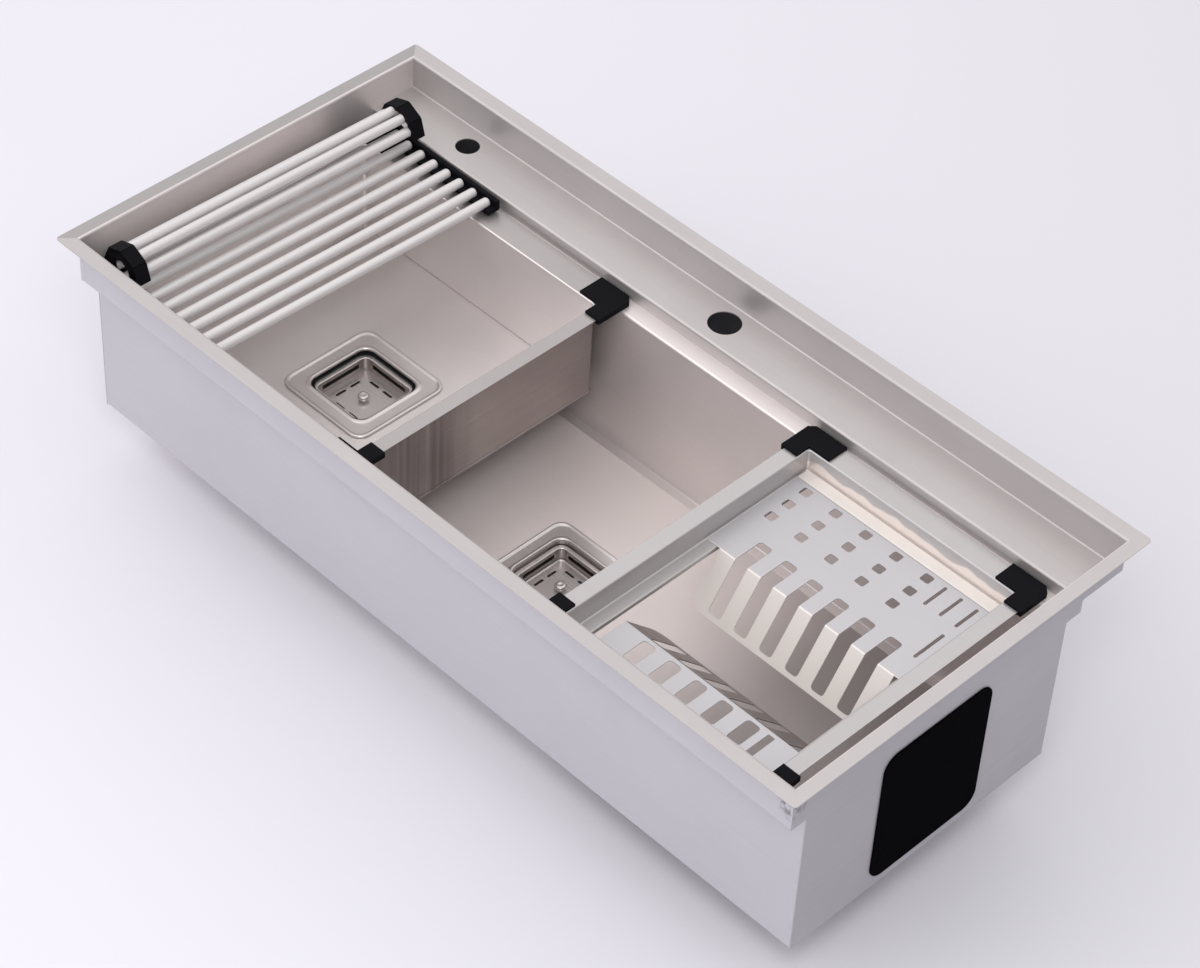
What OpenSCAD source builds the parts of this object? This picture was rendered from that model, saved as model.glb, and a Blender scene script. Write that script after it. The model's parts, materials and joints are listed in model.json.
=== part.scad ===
// Inset kitchen sink with a sliding rinse bowl, a sliding dish tray and a roll-up drying rack.
// Sizes are in millimetres. The origin is the centre of the worktop cut-out, on the worktop's top face.
// +X runs along the sink to the right, +Y runs to the tap deck at the rear, and +Z points up.

/* [Rim and main bowl] */
// Length of the rim, left to right
rim_length = 1000; // [960:10:1100]
// Depth of the rim, front to rear
rim_depth = 480; // [470:5:520]
// Width of the lip past the front and rear walls
lip_side = 18; // [12:1:24]
// Width of the lip past the end walls
lip_end = 16; // [10:1:20]
// Radius of the four corners of the rim
rim_corner_r = 4; // [2:0.5:8]
// Thickness of the sink's steel sheet
sheet = 1.2; // [0.8:0.1:1.5]
// Radius of a bend at the middle of the sheet
bend_r = 2.4; // [1.6:0.2:4]
// Depth of the runner ledges below the worktop
ledge_depth = 53; // [50:1:58]
// Width of each runner ledge
ledge_width = 20; // [18:1:24]
// Depth of the tap deck below the worktop
deck_depth = 37; // [28:1:42]
// Width of the tap deck
deck_width = 57; // [52:1:62]
// Depth of the main bowl's floor below the worktop
bowl_depth = 232; // [225:1:250]
// Radius of the tap hole
tap_hole_r = 17.5; // [16:0.5:19]
// Radius of the accessory hole
side_hole_r = 13; // [11:0.5:17.5]
// Distance of the accessory hole to the left of the tap hole
side_hole_x = 372; // [300:5:400]
// Distance of both holes from the rear wall
hole_inset = 26; // [24:1:30]
// Length of the black sleeves under both holes
sleeve_length = 38; // [20:1:60]

/* [Rinse bowl] */
// Distance of the rinse bowl's flange from the left end wall
rinse_place = 10; // [8:1:30]
// Length of the rinse bowl's flange, left to right
rinse_length = 377; // [360:1:384]
// Width of the flange at both ends
rinse_lip_end = 17; // [15:1:22]
// Width of the flange at front and rear
rinse_lip_side = 31; // [29:1:36]
// Space between the rinse bowl's floor and the main bowl's floor
rinse_space = 69.7; // [66:0.1:90]
// Radius of the rinse bowl's upright corners
rinse_corner_r = 6; // [3:1:15]

/* [Dish tray] */
// Distance of the dish tray's flange from the right end wall
tray_place = 35.5; // [20:0.5:50]
// Length of the dish tray's flange, left to right
tray_length = 294; // [285:1:310]
// Width of the flange at both ends
tray_lip_end = 18.2; // [16:0.1:22]
// Width of the flange at front and rear
tray_lip_side = 25.5; // [25:0.5:30]
// Depth of the tray's inner ledge below its flange
tray_ledge_drop = 25.7; // [20:0.1:32]
// Width of the tray's inner ledge
tray_ledge = 15; // [12:0.5:18]
// Height of the stiffening lip under the inner ledge
tray_lip_drop = 5; // [3:0.5:8]

/* [Dish sheets] */
// Thickness of the two dish sheets
dish_sheet = 1; // [0.8:0.1:1.2]
// Share of the tray that the rear sheet's flat part covers
rear_share = 0.427; // [0.4:0.001:0.45]
// Share of the tray that the front sheet's flat part covers
front_share = 0.163; // [0.15:0.001:0.18]
// Slope of the rear sheet's folded comb
comb_angle = 55; // [40:1:60]
// Slope of the front sheet's folded comb
front_comb_angle = 45; // [40:1:60]
// Length of the folded combs down the slope
comb_length = 63; // [50:1:66]
// Plain strip left at the foot of a comb
comb_foot = 5; // [4:0.5:8]
// Width of a comb's slots
slot_width = 16; // [10:0.5:18]
// Distance from slot to slot, as a share of the comb's width
slot_share = 0.1494; // [0.14:0.0002:0.15]
// Number of slots in the rear comb; the front comb has one fewer
slot_count = 6; // [3:1:6]
// Distance of the front sheet's left end from the tray's middle, as a share of the sheets' width
front_left_share = 0.405; // [0.39:0.005:0.5]
// Share of the rear sheet's flat part that its slots reach over
rear_slot_share = 0.2545; // [0.18:0.0005:0.28]
// Share of the front sheet's flat part that its slots reach over
front_slot_share = 0.667; // [0.5:0.001:0.75]
// Side of the square drain holes
square_hole = 11; // [7:0.5:12]
// Columns of square holes
hole_columns = 5; // [3:1:5]
// Rows of square holes
hole_rows = 3; // [2:1:3]
// Distance from column to column, as a share of the rear sheet's width
column_share = 0.1532; // [0.12:0.0002:0.155]
// Distance from row to row, as a share of the rear sheet's flat part
row_share = 0.1745; // [0.15:0.0005:0.18]

/* [Corner pads] */
// Thickness of a pad's cap over the flange
pad_cap = 3; // [2:0.1:4]
// Thickness of a pad's sole under the flange
pad_sole = 2.5; // [2:0.1:3]
// Thickness of a pad's wall along the ends
pad_wall_end = 4; // [3:0.5:5]
// Thickness of a pad's wall along front and rear
pad_wall_side = 1.8; // [1.2:0.1:2]
// Reach of a pad past the inner corner, along the flange
pad_reach_x = 24; // [16:1:30]
// Reach of a pad past the inner corner, front to rear
pad_reach_y = 16; // [12:1:28]
// Chamfer on a pad's outer corner
pad_chamfer = 6; // [3:0.5:8]

/* [Drying rack] */
// Diameter of a rack tube
tube_d = 10.5; // [9:0.5:11]
// Wall of a rack tube
tube_wall = 0.8; // [0.5:0.1:1]
// Distance from tube to tube
tube_pitch = 20.25; // [20:0.25:22]
// Distance of the rack's ends from the edges of the rinse bowl's flange
rack_inset = 3; // [2:0.5:8]
// Width of the end strips
strip_width = 16; // [12:1:18]
// Wall of a strip's socket around a tube
socket_wall = 1.3; // [1:0.1:1.6]
// Thickness of the web between sockets
web_t = 1.6; // [1.2:0.1:2]
// Depth that a tube reaches into its socket
tube_seat = 11; // [6:0.5:12]
// Length of the flat tab past the last tube
strip_tab = 19; // [12:1:25]
// Tubes that lie flat
flat_tubes = 7; // [6:1:8]
// Tubes that are rolled up
rolled_tubes = 6; // [2:1:6]
// Angle that each rolled link turns; the first one turns half as far
curl_angle = 46; // [40:1:47]
// Turn of the whole rack on the rinse bowl
rack_skew = 1.5; // [0:0.1:1.6]
// Distance of the rightmost tube from the left edge of the rinse bowl's flange
rack_reach = 174.5; // [170:0.5:190]
// Shift of the rack towards the tap deck
rack_shift = 0.6; // [-0.5:0.1:1.5]

/* [Waste] */
// Side of the waste's square flange
waste_side = 108; // [100:1:114]
// Corner radius of the square flange
waste_corner_r = 15; // [10:1:20]
// Side of the waste's square mouth
mouth_side = 75; // [66:1:80]
// Corner radius of the mouth
mouth_corner_r = 12; // [8:1:16]
// Depth of the waste cup under the bowl's floor
cup_depth = 25; // [18:1:27]
// Wall of the waste cup
cup_wall = 1; // [0.8:0.1:1.5]
// Height of the bead round the flange
bead_height = 2.4; // [1.5:0.1:3]
// Width of the bead round the flange
bead_width = 4; // [3:0.5:6]
// Outer radius of the outlet spigot
outlet_r = 20; // [18:0.5:22]
// Length of the main outlet spigot below its nut
outlet_length = 26; // [20:1:30]
// Length of the rinse bowl's outlet spigot below its nut
rinse_outlet_length = 8; // [5:1:12]
// Shift of the main waste to the right of the floor's middle
main_shift_x = 9; // [0:1:20]
// Shift of the main waste behind the floor's middle
main_shift_y = 0.5; // [-10:0.5:10]
// Shift of the rinse bowl's waste to the right of that bowl's middle
rinse_shift_x = 6.5; // [-10:0.5:10]
// Shift of the rinse bowl's waste behind that bowl's middle
rinse_shift_y = -9; // [-12:0.5:10]

/* [Sound pads] */
// Thickness of the sound pads
damper_t = 2; // [1.5:0.5:4]
// Width of the end pads, front to rear
damper_width = 150; // [100:5:180]
// Distance of the end pads above the main bowl's floor
damper_foot = 7.8; // [5:0.2:60]
// Corner radius of the sound pads
damper_corner_r = 18; // [8:1:25]
// Distance of the floor pads from the end walls
floor_pad_place = 104; // [40:1:160]
// Distance of the floor pads from the middle of the floor
floor_pad_inner = 140; // [100:5:200]
// Width of the floor pads
floor_pad_width = 200; // [120:5:240]

/* [Hidden] */
FLAT = [for (i = [1:flat_tubes]) str("rack_tube_", i)];
ROLLED = [for (i = [1:rolled_tubes]) str("rolled_tube_", i)];
LINKS = [for (i = [1:rolled_tubes]) str("rolled_link_", i)];
CORNERS = ["front_left", "front_right", "rear_left", "rear_right"];

$fn = 48;
// Overrun of a cut past the face that it opens
cut = 1;
// Straight pieces in the drawn arc of a bend
bend_steps = 6;
// Running gap between a tube and its socket
tube_fit = 0.1;
// Gap between the webs of two links when they lie flat
web_gap = 0.2;
// Gap between a basket and the cup's mouth
basket_gap = 1;
// Gap between a cup and the hole that it hangs in
cup_gap = 0.5;
// Gap between a pad's sole and the wall that it wraps
pad_gap = 0.3;
// Gap between a dish sheet and the tray's walls
sheet_gap = 2.5;
// Gap between a comb and the tray's ledge
comb_gap = 4;
// Gap between the rack's strips and the pads that they cross
rack_gap = 0.3;
// Gap between a hole's edge and the bore of its sleeve
sleeve_gap = 1;
// Distance of the floor's seams from the walls
seam_inset = 12;
// Radius of the rim corners of the rinse bowl and of the tray
flange_corner_r = 3;

// Inner faces of the walls
wall_x = rim_length / 2 - lip_end;
wall_y = rim_depth / 2 - lip_side;
front_wall_y = -wall_y + ledge_width;
riser_y = wall_y - deck_width;
rear_wall_y = riser_y - ledge_width;
middle_y = (front_wall_y + rear_wall_y) / 2;
half = sheet / 2;
hole_y = wall_y - hole_inset;
sleeve_wall = 3;
sleeve_flange = 6.5;
sleeve_flange_t = 2.5;
main_floor = -bowl_depth;

// Flanges that ride on the runner ledges
flange_under = -ledge_depth + pad_sole;
flange_top = flange_under + sheet;
runner_gap = 4.5;
flange_rear = riser_y - runner_gap;
flange_front = -wall_y + runner_gap;

// Rinse bowl
rinse_left = -wall_x + rinse_place;
rinse_right = rinse_left + rinse_length;
rinse_x0 = rinse_left + rinse_lip_end;
rinse_x1 = rinse_right - rinse_lip_end;
rinse_y0 = flange_front + rinse_lip_side;
rinse_y1 = flange_rear - rinse_lip_side;
rinse_floor = main_floor + rinse_space;

// Dish tray
tray_right = wall_x - tray_place;
tray_left = tray_right - tray_length;
tray_x0 = tray_left + tray_lip_end;
tray_x1 = tray_right - tray_lip_end;
tray_y0 = flange_front + tray_lip_side;
tray_y1 = flange_rear - tray_lip_side;
tray_ledge_top = flange_top - tray_ledge_drop;
tray_x = (tray_x0 + tray_x1) / 2;

// Dish sheets
sheet_top = tray_ledge_top + dish_sheet;
sheet_rear = tray_y1 - sheet_gap;
sheet_front = tray_y0 + sheet_gap;
rear_flat = rear_share * (sheet_rear - sheet_front);
front_flat = front_share * (sheet_rear - sheet_front);
rear_fold_y = sheet_rear - rear_flat;
front_fold_y = sheet_front + front_flat;
rear_slot_run = rear_slot_share * rear_flat;
front_slot_run = front_slot_share * front_flat;
row_pitch = row_share * rear_flat;
sheet_width = tray_x1 - tray_x0 - 2 * sheet_gap;
comb_width = tray_x1 - tray_x0 - 2 * tray_ledge - 2 * comb_gap;
comb_corner_r = 13;
slot_r = 4;
slot_pitch = slot_share * comb_width;
column_pitch = column_share * sheet_width;
comb_span = (slot_count - 1) * slot_pitch;
rear_comb_start = tray_x - comb_span / 2;
front_comb_start = rear_comb_start + slot_pitch / 2;
front_half = front_left_share * sheet_width;
front_bridge = 4.5;
front_slit_width = 8;
front_slit_edge = 40;
hole_row_inset = 9.6;
hem_width = 13;
hem_height = 1.6;
hole_corner_r = 2.2;
slit_width = 3.6;
slit_pitch = column_pitch / 2;
slit_run = 1.75 * row_pitch;
slit_edge = slit_pitch;
slit_count = 3;

// Rack
rack_length = flange_rear - flange_front - 2 * rack_inset;
rack_x = rinse_left + rack_reach;
rack_y = (flange_rear + flange_front) / 2 + rack_shift;
tube_r = tube_d / 2;
socket_r = tube_r + socket_wall;
strip_bottom = flange_top + pad_cap + rack_gap;
tube_z = strip_bottom + socket_r;
hinge_drop = socket_r - web_t;
tube_length = rack_length - 2 * strip_width + 2 * tube_seat;
strip_middle = (rack_length - strip_width) / 2;

// Waste parts, counted down from the floor's top face
main_waste_x = main_shift_x;
main_waste_y = middle_y + main_shift_y;
rinse_waste_x = (rinse_x0 + rinse_x1) / 2 + rinse_shift_x;
rinse_waste_y = (rinse_y0 + rinse_y1) / 2 + rinse_shift_y;
mouth_hole = mouth_side + 2 * cup_wall + 2 * cup_gap;
mouth_hole_r = mouth_corner_r + cup_wall + cup_gap;
flange_sheet = 1.2;
seal_t = 2;
clamp_t = 6;
nut_height = 10;
nut_wall = 7;
outlet_wall = 1.6;
neck_r = outlet_r - outlet_wall;
outlet_hole_r = neck_r - cup_wall;
mouth_lip = 2;
mouth_lip_height = 1.8;
seal_margin = 4;
basket_rim_drop = 5;
basket_floor_drop = 21;
basket_wall = 0.8;
basket_rim = 5;
dash_ring = 43.5;
dash_length = 12;
dash_width = 2.4;
dash_offset = 9;
knob_r = 6;
knob_height = 5;
stem_r = 2.5;
stem_height = 3;

// Sound pads
damper_top = -ledge_depth - sheet;
damper_height = damper_top - main_floor - damper_foot;
floor_pad_length = wall_x - floor_pad_place - floor_pad_inner;
floor_pad_x = floor_pad_inner + floor_pad_length / 2;

// Unit vector along v
function unit(v) = v / norm(v);
// Vector v turned a quarter to the left
function left(v) = [-v[1], v[0]];
// Vector v turned by angle a
function turned(v, a) = [v[0] * cos(a) - v[1] * sin(a), v[0] * sin(a) + v[1] * cos(a)];
// Points of the bend a-b-c, s to the left of the sheet's middle, at radius r
function bend(a, b, c, r, s) =
    let (d1 = unit(b - a), d2 = unit(c - b), way = sign(cross(d1, d2)), angle = acos(d1 * d2),
         centre = b - d1 * r * tan(angle / 2) + left(d1) * r * way)
    [for (i = [0:bend_steps])
        centre - left(turned(d1, way * angle * i / bend_steps)) * way * (r - s * way)];
// One edge of a folded sheet whose middle follows path
function edge(path, r, s) =
    let (n = len(path) - 1)
    concat([path[0] + left(unit(path[1] - path[0])) * s],
           [for (i = [1:1:n - 1]) each bend(path[i - 1], path[i], path[i + 1], r, s)],
           [path[n] + left(unit(path[n] - path[n - 1])) * s]);
// Outline of a folded sheet of thickness t
function folded(path, r, t) =
    let (back = edge(path, r, -t / 2))
    concat(edge(path, r, t / 2), [for (i = [len(back) - 1:-1:0]) back[i]]);

// Rectangle with round corners, between two x and two y values
module round_rect(x0, x1, y0, y1, r) {
    translate([x0 + r, y0])
        square([x1 - x0 - 2 * r, y1 - y0]);
    translate([x0, y0 + r])
        square([x1 - x0, y1 - y0 - 2 * r]);
    for (x = [x0 + r, x1 - r], y = [y0 + r, y1 - r])
        translate([x, y])
            circle(r);
}

// Square of the given side with round corners, round the origin
module round_square(side, r) {
    round_rect(-side / 2, side / 2, -side / 2, side / 2, r);
}

// Flat plate between z0 and z1
module plate(z0, z1) {
    translate([0, 0, z0])
        linear_extrude(z1 - z0)
            children();
}

// Sheet folded in the YZ plane, as long as the rim
module fold_along(path) {
    rotate([90, 0, 90])
        translate([0, 0, -rim_length / 2])
            linear_extrude(rim_length)
                polygon(folded(path, bend_r, sheet));
}

// Space of the front or rear sheets, mitred at the rim corners
module side_space(side) {
    translate([0, 0, -bowl_depth - bend_r])
        linear_extrude(bowl_depth + bend_r + cut + sheet)
            intersection() {
                round_square_rim();
                polygon([[-rim_length / 2, side * rim_depth / 2], [rim_length / 2, side * rim_depth / 2],
                         [wall_x, side * wall_y], [wall_x, 0], [-wall_x, 0], [-wall_x, side * wall_y]]);
            }
}

// Outline of the rim from above
module round_square_rim() {
    round_rect(-rim_length / 2, rim_length / 2, -rim_depth / 2, rim_depth / 2, rim_corner_r);
}

module front_wall() {
    color("gainsboro")
        intersection() {
            fold_along([[-rim_depth / 2, half], [-wall_y - half, half],
                        [-wall_y - half, -ledge_depth - half], [front_wall_y - half, -ledge_depth - half],
                        [front_wall_y - half, main_floor - half],
                        [front_wall_y + seam_inset, main_floor - half]]);
            side_space(-1);
        }
}

module rear_wall() {
    color("gainsboro")
        intersection() {
            fold_along([[riser_y + sheet, -ledge_depth - half], [rear_wall_y + half, -ledge_depth - half],
                        [rear_wall_y + half, main_floor - half],
                        [rear_wall_y - seam_inset, main_floor - half]]);
            side_space(1);
        }
}

module tap_deck() {
    color("gainsboro")
        difference() {
            intersection() {
                fold_along([[rim_depth / 2, half], [wall_y + half, half],
                            [wall_y + half, -deck_depth - half], [riser_y + half, -deck_depth - half],
                            [riser_y + half, -ledge_depth]]);
                side_space(1);
            }
            translate([0, hole_y, -deck_depth - sheet - cut])
                cylinder(h = sheet + 2 * cut, r = tap_hole_r);
            translate([-side_hole_x, hole_y, -deck_depth - sheet - cut])
                cylinder(h = sheet + 2 * cut, r = side_hole_r);
        }
}

// Black sleeve under a hole of the deck, for the hole of radius r
module sleeve(r) {
    top = -deck_depth - sheet;
    bore = r + sleeve_gap;
    color("black")
        difference() {
            union() {
                plate(top - sleeve_length, top)
                    circle(bore + sleeve_wall);
                plate(top - sleeve_flange_t, top)
                    circle(bore + sleeve_flange);
            }
            plate(top - sleeve_length - cut, top + cut)
                circle(bore);
        }
}

module tap_hole_sleeve() {
    translate([0, hole_y])
        sleeve(tap_hole_r);
}

module side_hole_sleeve() {
    translate([-side_hole_x, hole_y])
        sleeve(side_hole_r);
}

module bowl_floor() {
    color("gainsboro")
        difference() {
            plate(main_floor - sheet, main_floor)
                translate([-wall_x, front_wall_y + seam_inset])
                    square([2 * wall_x, rear_wall_y - front_wall_y - 2 * seam_inset]);
            translate([main_waste_x, main_waste_y])
                plate(main_floor - sheet - cut, main_floor + cut)
                    round_square(mouth_hole, mouth_hole_r);
        }
}

// Stepped outline of an end plate, seen along X, with the band that holds its lip
module end_outline() {
    band = 2 * bend_r;
    side = wall_y + sheet;
    polygon([[-rim_depth / 2, sheet + cut], [-rim_depth / 2, -band], [-side, -band],
             [-side, -ledge_depth - sheet], [front_wall_y - sheet, -ledge_depth - sheet],
             [front_wall_y - sheet, main_floor - sheet], [rear_wall_y + sheet, main_floor - sheet],
             [rear_wall_y + sheet, -ledge_depth - sheet], [riser_y + sheet, -ledge_depth - sheet],
             [riser_y + sheet, -deck_depth - sheet], [side, -deck_depth - sheet],
             [side, -band], [rim_depth / 2, -band], [rim_depth / 2, sheet + cut]]);
}

// End plate at the side given as -1 or 1, folded outwards into its lip
module end_plate(side) {
    color("silver")
        intersection() {
            rotate([90, 0, 0])
                translate([0, 0, -rim_depth / 2])
                    linear_extrude(rim_depth)
                        polygon(folded([[side * rim_length / 2, half], [side * (wall_x + half), half],
                                        [side * (wall_x + half), main_floor - sheet]], bend_r, sheet));
            plate(main_floor - 2 * sheet, sheet + cut)
                intersection() {
                    round_square_rim();
                    polygon([[side * rim_length / 2, -rim_depth / 2], [side * rim_length / 2, rim_depth / 2],
                             [side * wall_x, wall_y], [side * wall_x, -wall_y]]);
                }
            rotate([90, 0, 90])
                translate([0, 0, -rim_length / 2])
                    linear_extrude(rim_length)
                        end_outline();
        }
}

module end_plate_left() {
    end_plate(-1);
}

module end_plate_right() {
    end_plate(1);
}

// Black pad stuck on an end plate's outer face
module sound_pad(side) {
    color("black")
        translate([side * (wall_x + sheet), middle_y, damper_top - damper_height / 2])
            rotate([0, side * 90, 0])
                linear_extrude(damper_t)
                    round_rect(-damper_height / 2, damper_height / 2, -damper_width / 2, damper_width / 2,
                               damper_corner_r);
}

module sound_pad_left() {
    sound_pad(-1);
}

module sound_pad_right() {
    sound_pad(1);
}

// Black pad stuck under the floor
module floor_pad(side) {
    color("black")
        translate([side * floor_pad_x, middle_y])
            plate(main_floor - sheet - damper_t, main_floor - sheet)
                round_rect(-floor_pad_length / 2, floor_pad_length / 2,
                           -floor_pad_width / 2, floor_pad_width / 2, damper_corner_r);
}

module floor_pad_left() {
    floor_pad(-1);
}

module floor_pad_right() {
    floor_pad(1);
}

// Places a waste part at the main waste or at the rinse bowl's waste
module at_main() {
    translate([main_waste_x, main_waste_y, main_floor])
        children();
}

module at_rinse() {
    translate([rinse_waste_x, rinse_waste_y, rinse_floor])
        children();
}

// Square flange and cup of a waste, with z = 0 on the bowl's floor
module waste_shell() {
    outer = mouth_side + 2 * cup_wall;
    outer_r = mouth_corner_r + cup_wall;
    color("silver")
        difference() {
            union() {
                plate(0, flange_sheet)
                    round_square(waste_side, waste_corner_r);
                plate(flange_sheet, bead_height)
                    difference() {
                        round_square(waste_side, waste_corner_r);
                        round_square(waste_side - 2 * bead_width, waste_corner_r - bead_width);
                    }
                plate(flange_sheet, mouth_lip_height)
                    round_square(mouth_side + 2 * mouth_lip, mouth_corner_r + mouth_lip);
                plate(-cup_depth - cup_wall, flange_sheet)
                    round_square(outer, outer_r);
                plate(-cup_depth - cup_wall - nut_height, -cup_depth)
                    circle(neck_r);
            }
            plate(-cup_depth, bead_height + cut)
                round_square(mouth_side, mouth_corner_r);
            plate(-cup_depth - cup_wall - nut_height - cut, -cup_depth + cut)
                circle(outlet_hole_r);
        }
}

// Rubber ring under the floor
module seal_ring() {
    color("dimgray")
        plate(-sheet - seal_t, -sheet)
            difference() {
                round_square(waste_side, waste_corner_r);
                round_square(mouth_hole, mouth_hole_r);
            }
}

// Plastic ring that clamps the seal against the floor
module clamp_ring() {
    color("dimgray")
        plate(-sheet - seal_t - clamp_t, -sheet - seal_t)
            difference() {
                round_square(waste_side - seal_margin, waste_corner_r - seal_margin / 2);
                round_square(mouth_hole, mouth_hole_r);
            }
}

// Outlet tail with the nut that holds it on the cup's neck
module tail_piece(length) {
    top = -cup_depth - cup_wall;
    color("dimgray")
        difference() {
            union() {
                plate(top - nut_height, top)
                    circle(outlet_r + nut_wall);
                plate(top - nut_height - length, top - nut_height)
                    circle(outlet_r);
            }
            plate(top - nut_height, top + cut)
                circle(neck_r);
            plate(top - nut_height - length - cut, top - nut_height + cut)
                circle(outlet_hole_r);
        }
}

// Square strainer basket with a ring of eight dashes
module basket() {
    side = mouth_side - 2 * basket_gap;
    rim_r = mouth_corner_r - basket_gap;
    inside = side - 2 * basket_rim;
    color("silver")
        difference() {
            union() {
                plate(-basket_rim_drop - basket_wall, -basket_rim_drop)
                    round_square(side, rim_r);
                plate(-basket_floor_drop - basket_wall, -basket_rim_drop)
                    round_square(inside + 2 * basket_wall, rim_r - basket_rim + basket_wall);
            }
            plate(-basket_floor_drop, cut)
                round_square(inside, rim_r - basket_rim);
            for (turn = [0:3], place = [-dash_offset, dash_offset])
                rotate(turn * 90)
                    translate([place, dash_ring / 2])
                        plate(-basket_floor_drop - basket_wall - cut, -basket_floor_drop + cut)
                            square([dash_length, dash_width], center = true);
        }
}

// Knob on the basket's floor
module knob() {
    color("gray")
        translate([0, 0, -basket_floor_drop]) {
            cylinder(h = stem_height, r = stem_r);
            translate([0, 0, stem_height])
                cylinder(h = knob_height, r = knob_r);
        }
}

module waste_body() {
    at_main()
        waste_shell();
}

module waste_seal() {
    at_main()
        seal_ring();
}

module waste_clamp() {
    at_main()
        clamp_ring();
}

module waste_tail() {
    at_main()
        tail_piece(outlet_length);
}

module strainer_basket() {
    at_main()
        basket();
}

module strainer_knob() {
    at_main()
        knob();
}

module rinse_waste_body() {
    at_rinse()
        waste_shell();
}

module rinse_waste_seal() {
    at_rinse()
        seal_ring();
}

module rinse_waste_clamp() {
    at_rinse()
        clamp_ring();
}

module rinse_waste_tail() {
    at_rinse()
        tail_piece(rinse_outlet_length);
}

module rinse_strainer_basket() {
    at_rinse()
        basket();
}

module rinse_strainer_knob() {
    at_rinse()
        knob();
}

module rinse_bowl() {
    color("gainsboro")
        difference() {
            union() {
                plate(flange_under, flange_top)
                    round_rect(rinse_left, rinse_right, flange_front, flange_rear, flange_corner_r);
                plate(rinse_floor - sheet, flange_under)
                    round_rect(rinse_x0 - sheet, rinse_x1 + sheet, rinse_y0 - sheet, rinse_y1 + sheet,
                               rinse_corner_r + sheet);
            }
            plate(rinse_floor, flange_top + cut)
                round_rect(rinse_x0, rinse_x1, rinse_y0, rinse_y1, rinse_corner_r);
            translate([rinse_waste_x, rinse_waste_y])
                plate(rinse_floor - sheet - cut, rinse_floor + cut)
                    round_square(mouth_hole, mouth_hole_r);
        }
}

module dish_tray() {
    color("gainsboro")
        difference() {
            union() {
                plate(flange_under, flange_top)
                    round_rect(tray_left, tray_right, flange_front, flange_rear, flange_corner_r);
                plate(tray_ledge_top - sheet, flange_under)
                    translate([tray_x0 - sheet, tray_y0 - sheet])
                        square([tray_x1 - tray_x0 + 2 * sheet, tray_y1 - tray_y0 + 2 * sheet]);
                plate(tray_ledge_top - tray_lip_drop, tray_ledge_top)
                    translate([tray_x0 + tray_ledge - sheet, tray_y0 + tray_ledge - sheet])
                        square([tray_x1 - tray_x0 - 2 * tray_ledge + 2 * sheet,
                                tray_y1 - tray_y0 - 2 * tray_ledge + 2 * sheet]);
            }
            plate(tray_ledge_top, flange_top + cut)
                translate([tray_x0, tray_y0])
                    square([tray_x1 - tray_x0, tray_y1 - tray_y0]);
            plate(tray_ledge_top - tray_lip_drop - cut, tray_ledge_top + cut)
                translate([tray_x0 + tray_ledge, tray_y0 + tray_ledge])
                    square([tray_x1 - tray_x0 - 2 * tray_ledge, tray_y1 - tray_y0 - 2 * tray_ledge]);
        }
}

// Row of slots from x = start on, each from y0 to y1
module slot_row(start, count, y0, y1) {
    for (i = [0:count - 1])
        translate([start + i * slot_pitch, 0])
            round_rect(-slot_width / 2, slot_width / 2, y0, y1, slot_r);
}

// Folded comb between x0 and x1, hung from y = 0, z = 0 on its top face, running down along +Y;
// its slots begin at the given distance below the fold
module comb(x0, x1, angle, start, count, begin) {
    rotate([-angle, 0, 0])
        translate([0, 0, -dish_sheet])
            linear_extrude(dish_sheet)
                difference() {
                    union() {
                        translate([x0, 0])
                            square([x1 - x0, comb_length - comb_corner_r]);
                        round_rect(x0, x1, 0, comb_length, comb_corner_r);
                    }
                    slot_row(start, count, begin, comb_length - comb_foot);
                }
}

module rear_dish_sheet() {
    color("white")
        difference() {
            union() {
                plate(tray_ledge_top, sheet_top)
                    translate([tray_x - sheet_width / 2, rear_fold_y])
                        square([sheet_width, rear_flat]);
                plate(sheet_top, sheet_top + hem_height)
                    translate([tray_x - sheet_width / 2, sheet_rear - hem_width])
                        square([sheet_width, hem_width]);
                translate([0, rear_fold_y, sheet_top])
                    mirror([0, 1, 0])
                        comb(tray_x - comb_width / 2, tray_x + comb_width / 2, comb_angle,
                             rear_comb_start, slot_count, -slot_width);
            }
            translate([0, rear_fold_y])
                plate(tray_ledge_top - dish_sheet, sheet_top + cut)
                    slot_row(rear_comb_start, slot_count, -slot_width, rear_slot_run);
            for (column = [0:hole_columns - 1], row = [0:hole_rows - 1])
                translate([tray_x - sheet_width / 2 + slit_edge + column * column_pitch,
                           sheet_rear - hem_width - hole_row_inset - row * row_pitch])
                    plate(tray_ledge_top - cut, sheet_top + cut)
                        round_square(square_hole, hole_corner_r);
            for (i = [0:slit_count - 1])
                translate([tray_x + sheet_width / 2 - slit_edge - i * slit_pitch,
                           sheet_rear - hem_width + hole_row_inset / 2 - slit_run])
                    plate(tray_ledge_top - cut, sheet_top + cut)
                        translate([-slit_width / 2, 0])
                            square([slit_width, slit_run - hole_row_inset]);
            translate([tray_x + sheet_width / 2 - slit_edge,
                       rear_fold_y + rear_slot_run - hole_row_inset / 2])
                plate(tray_ledge_top - cut, sheet_top + cut)
                    translate([-slit_width / 2, 0])
                        square([slit_width, slit_run]);
        }
}

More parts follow.
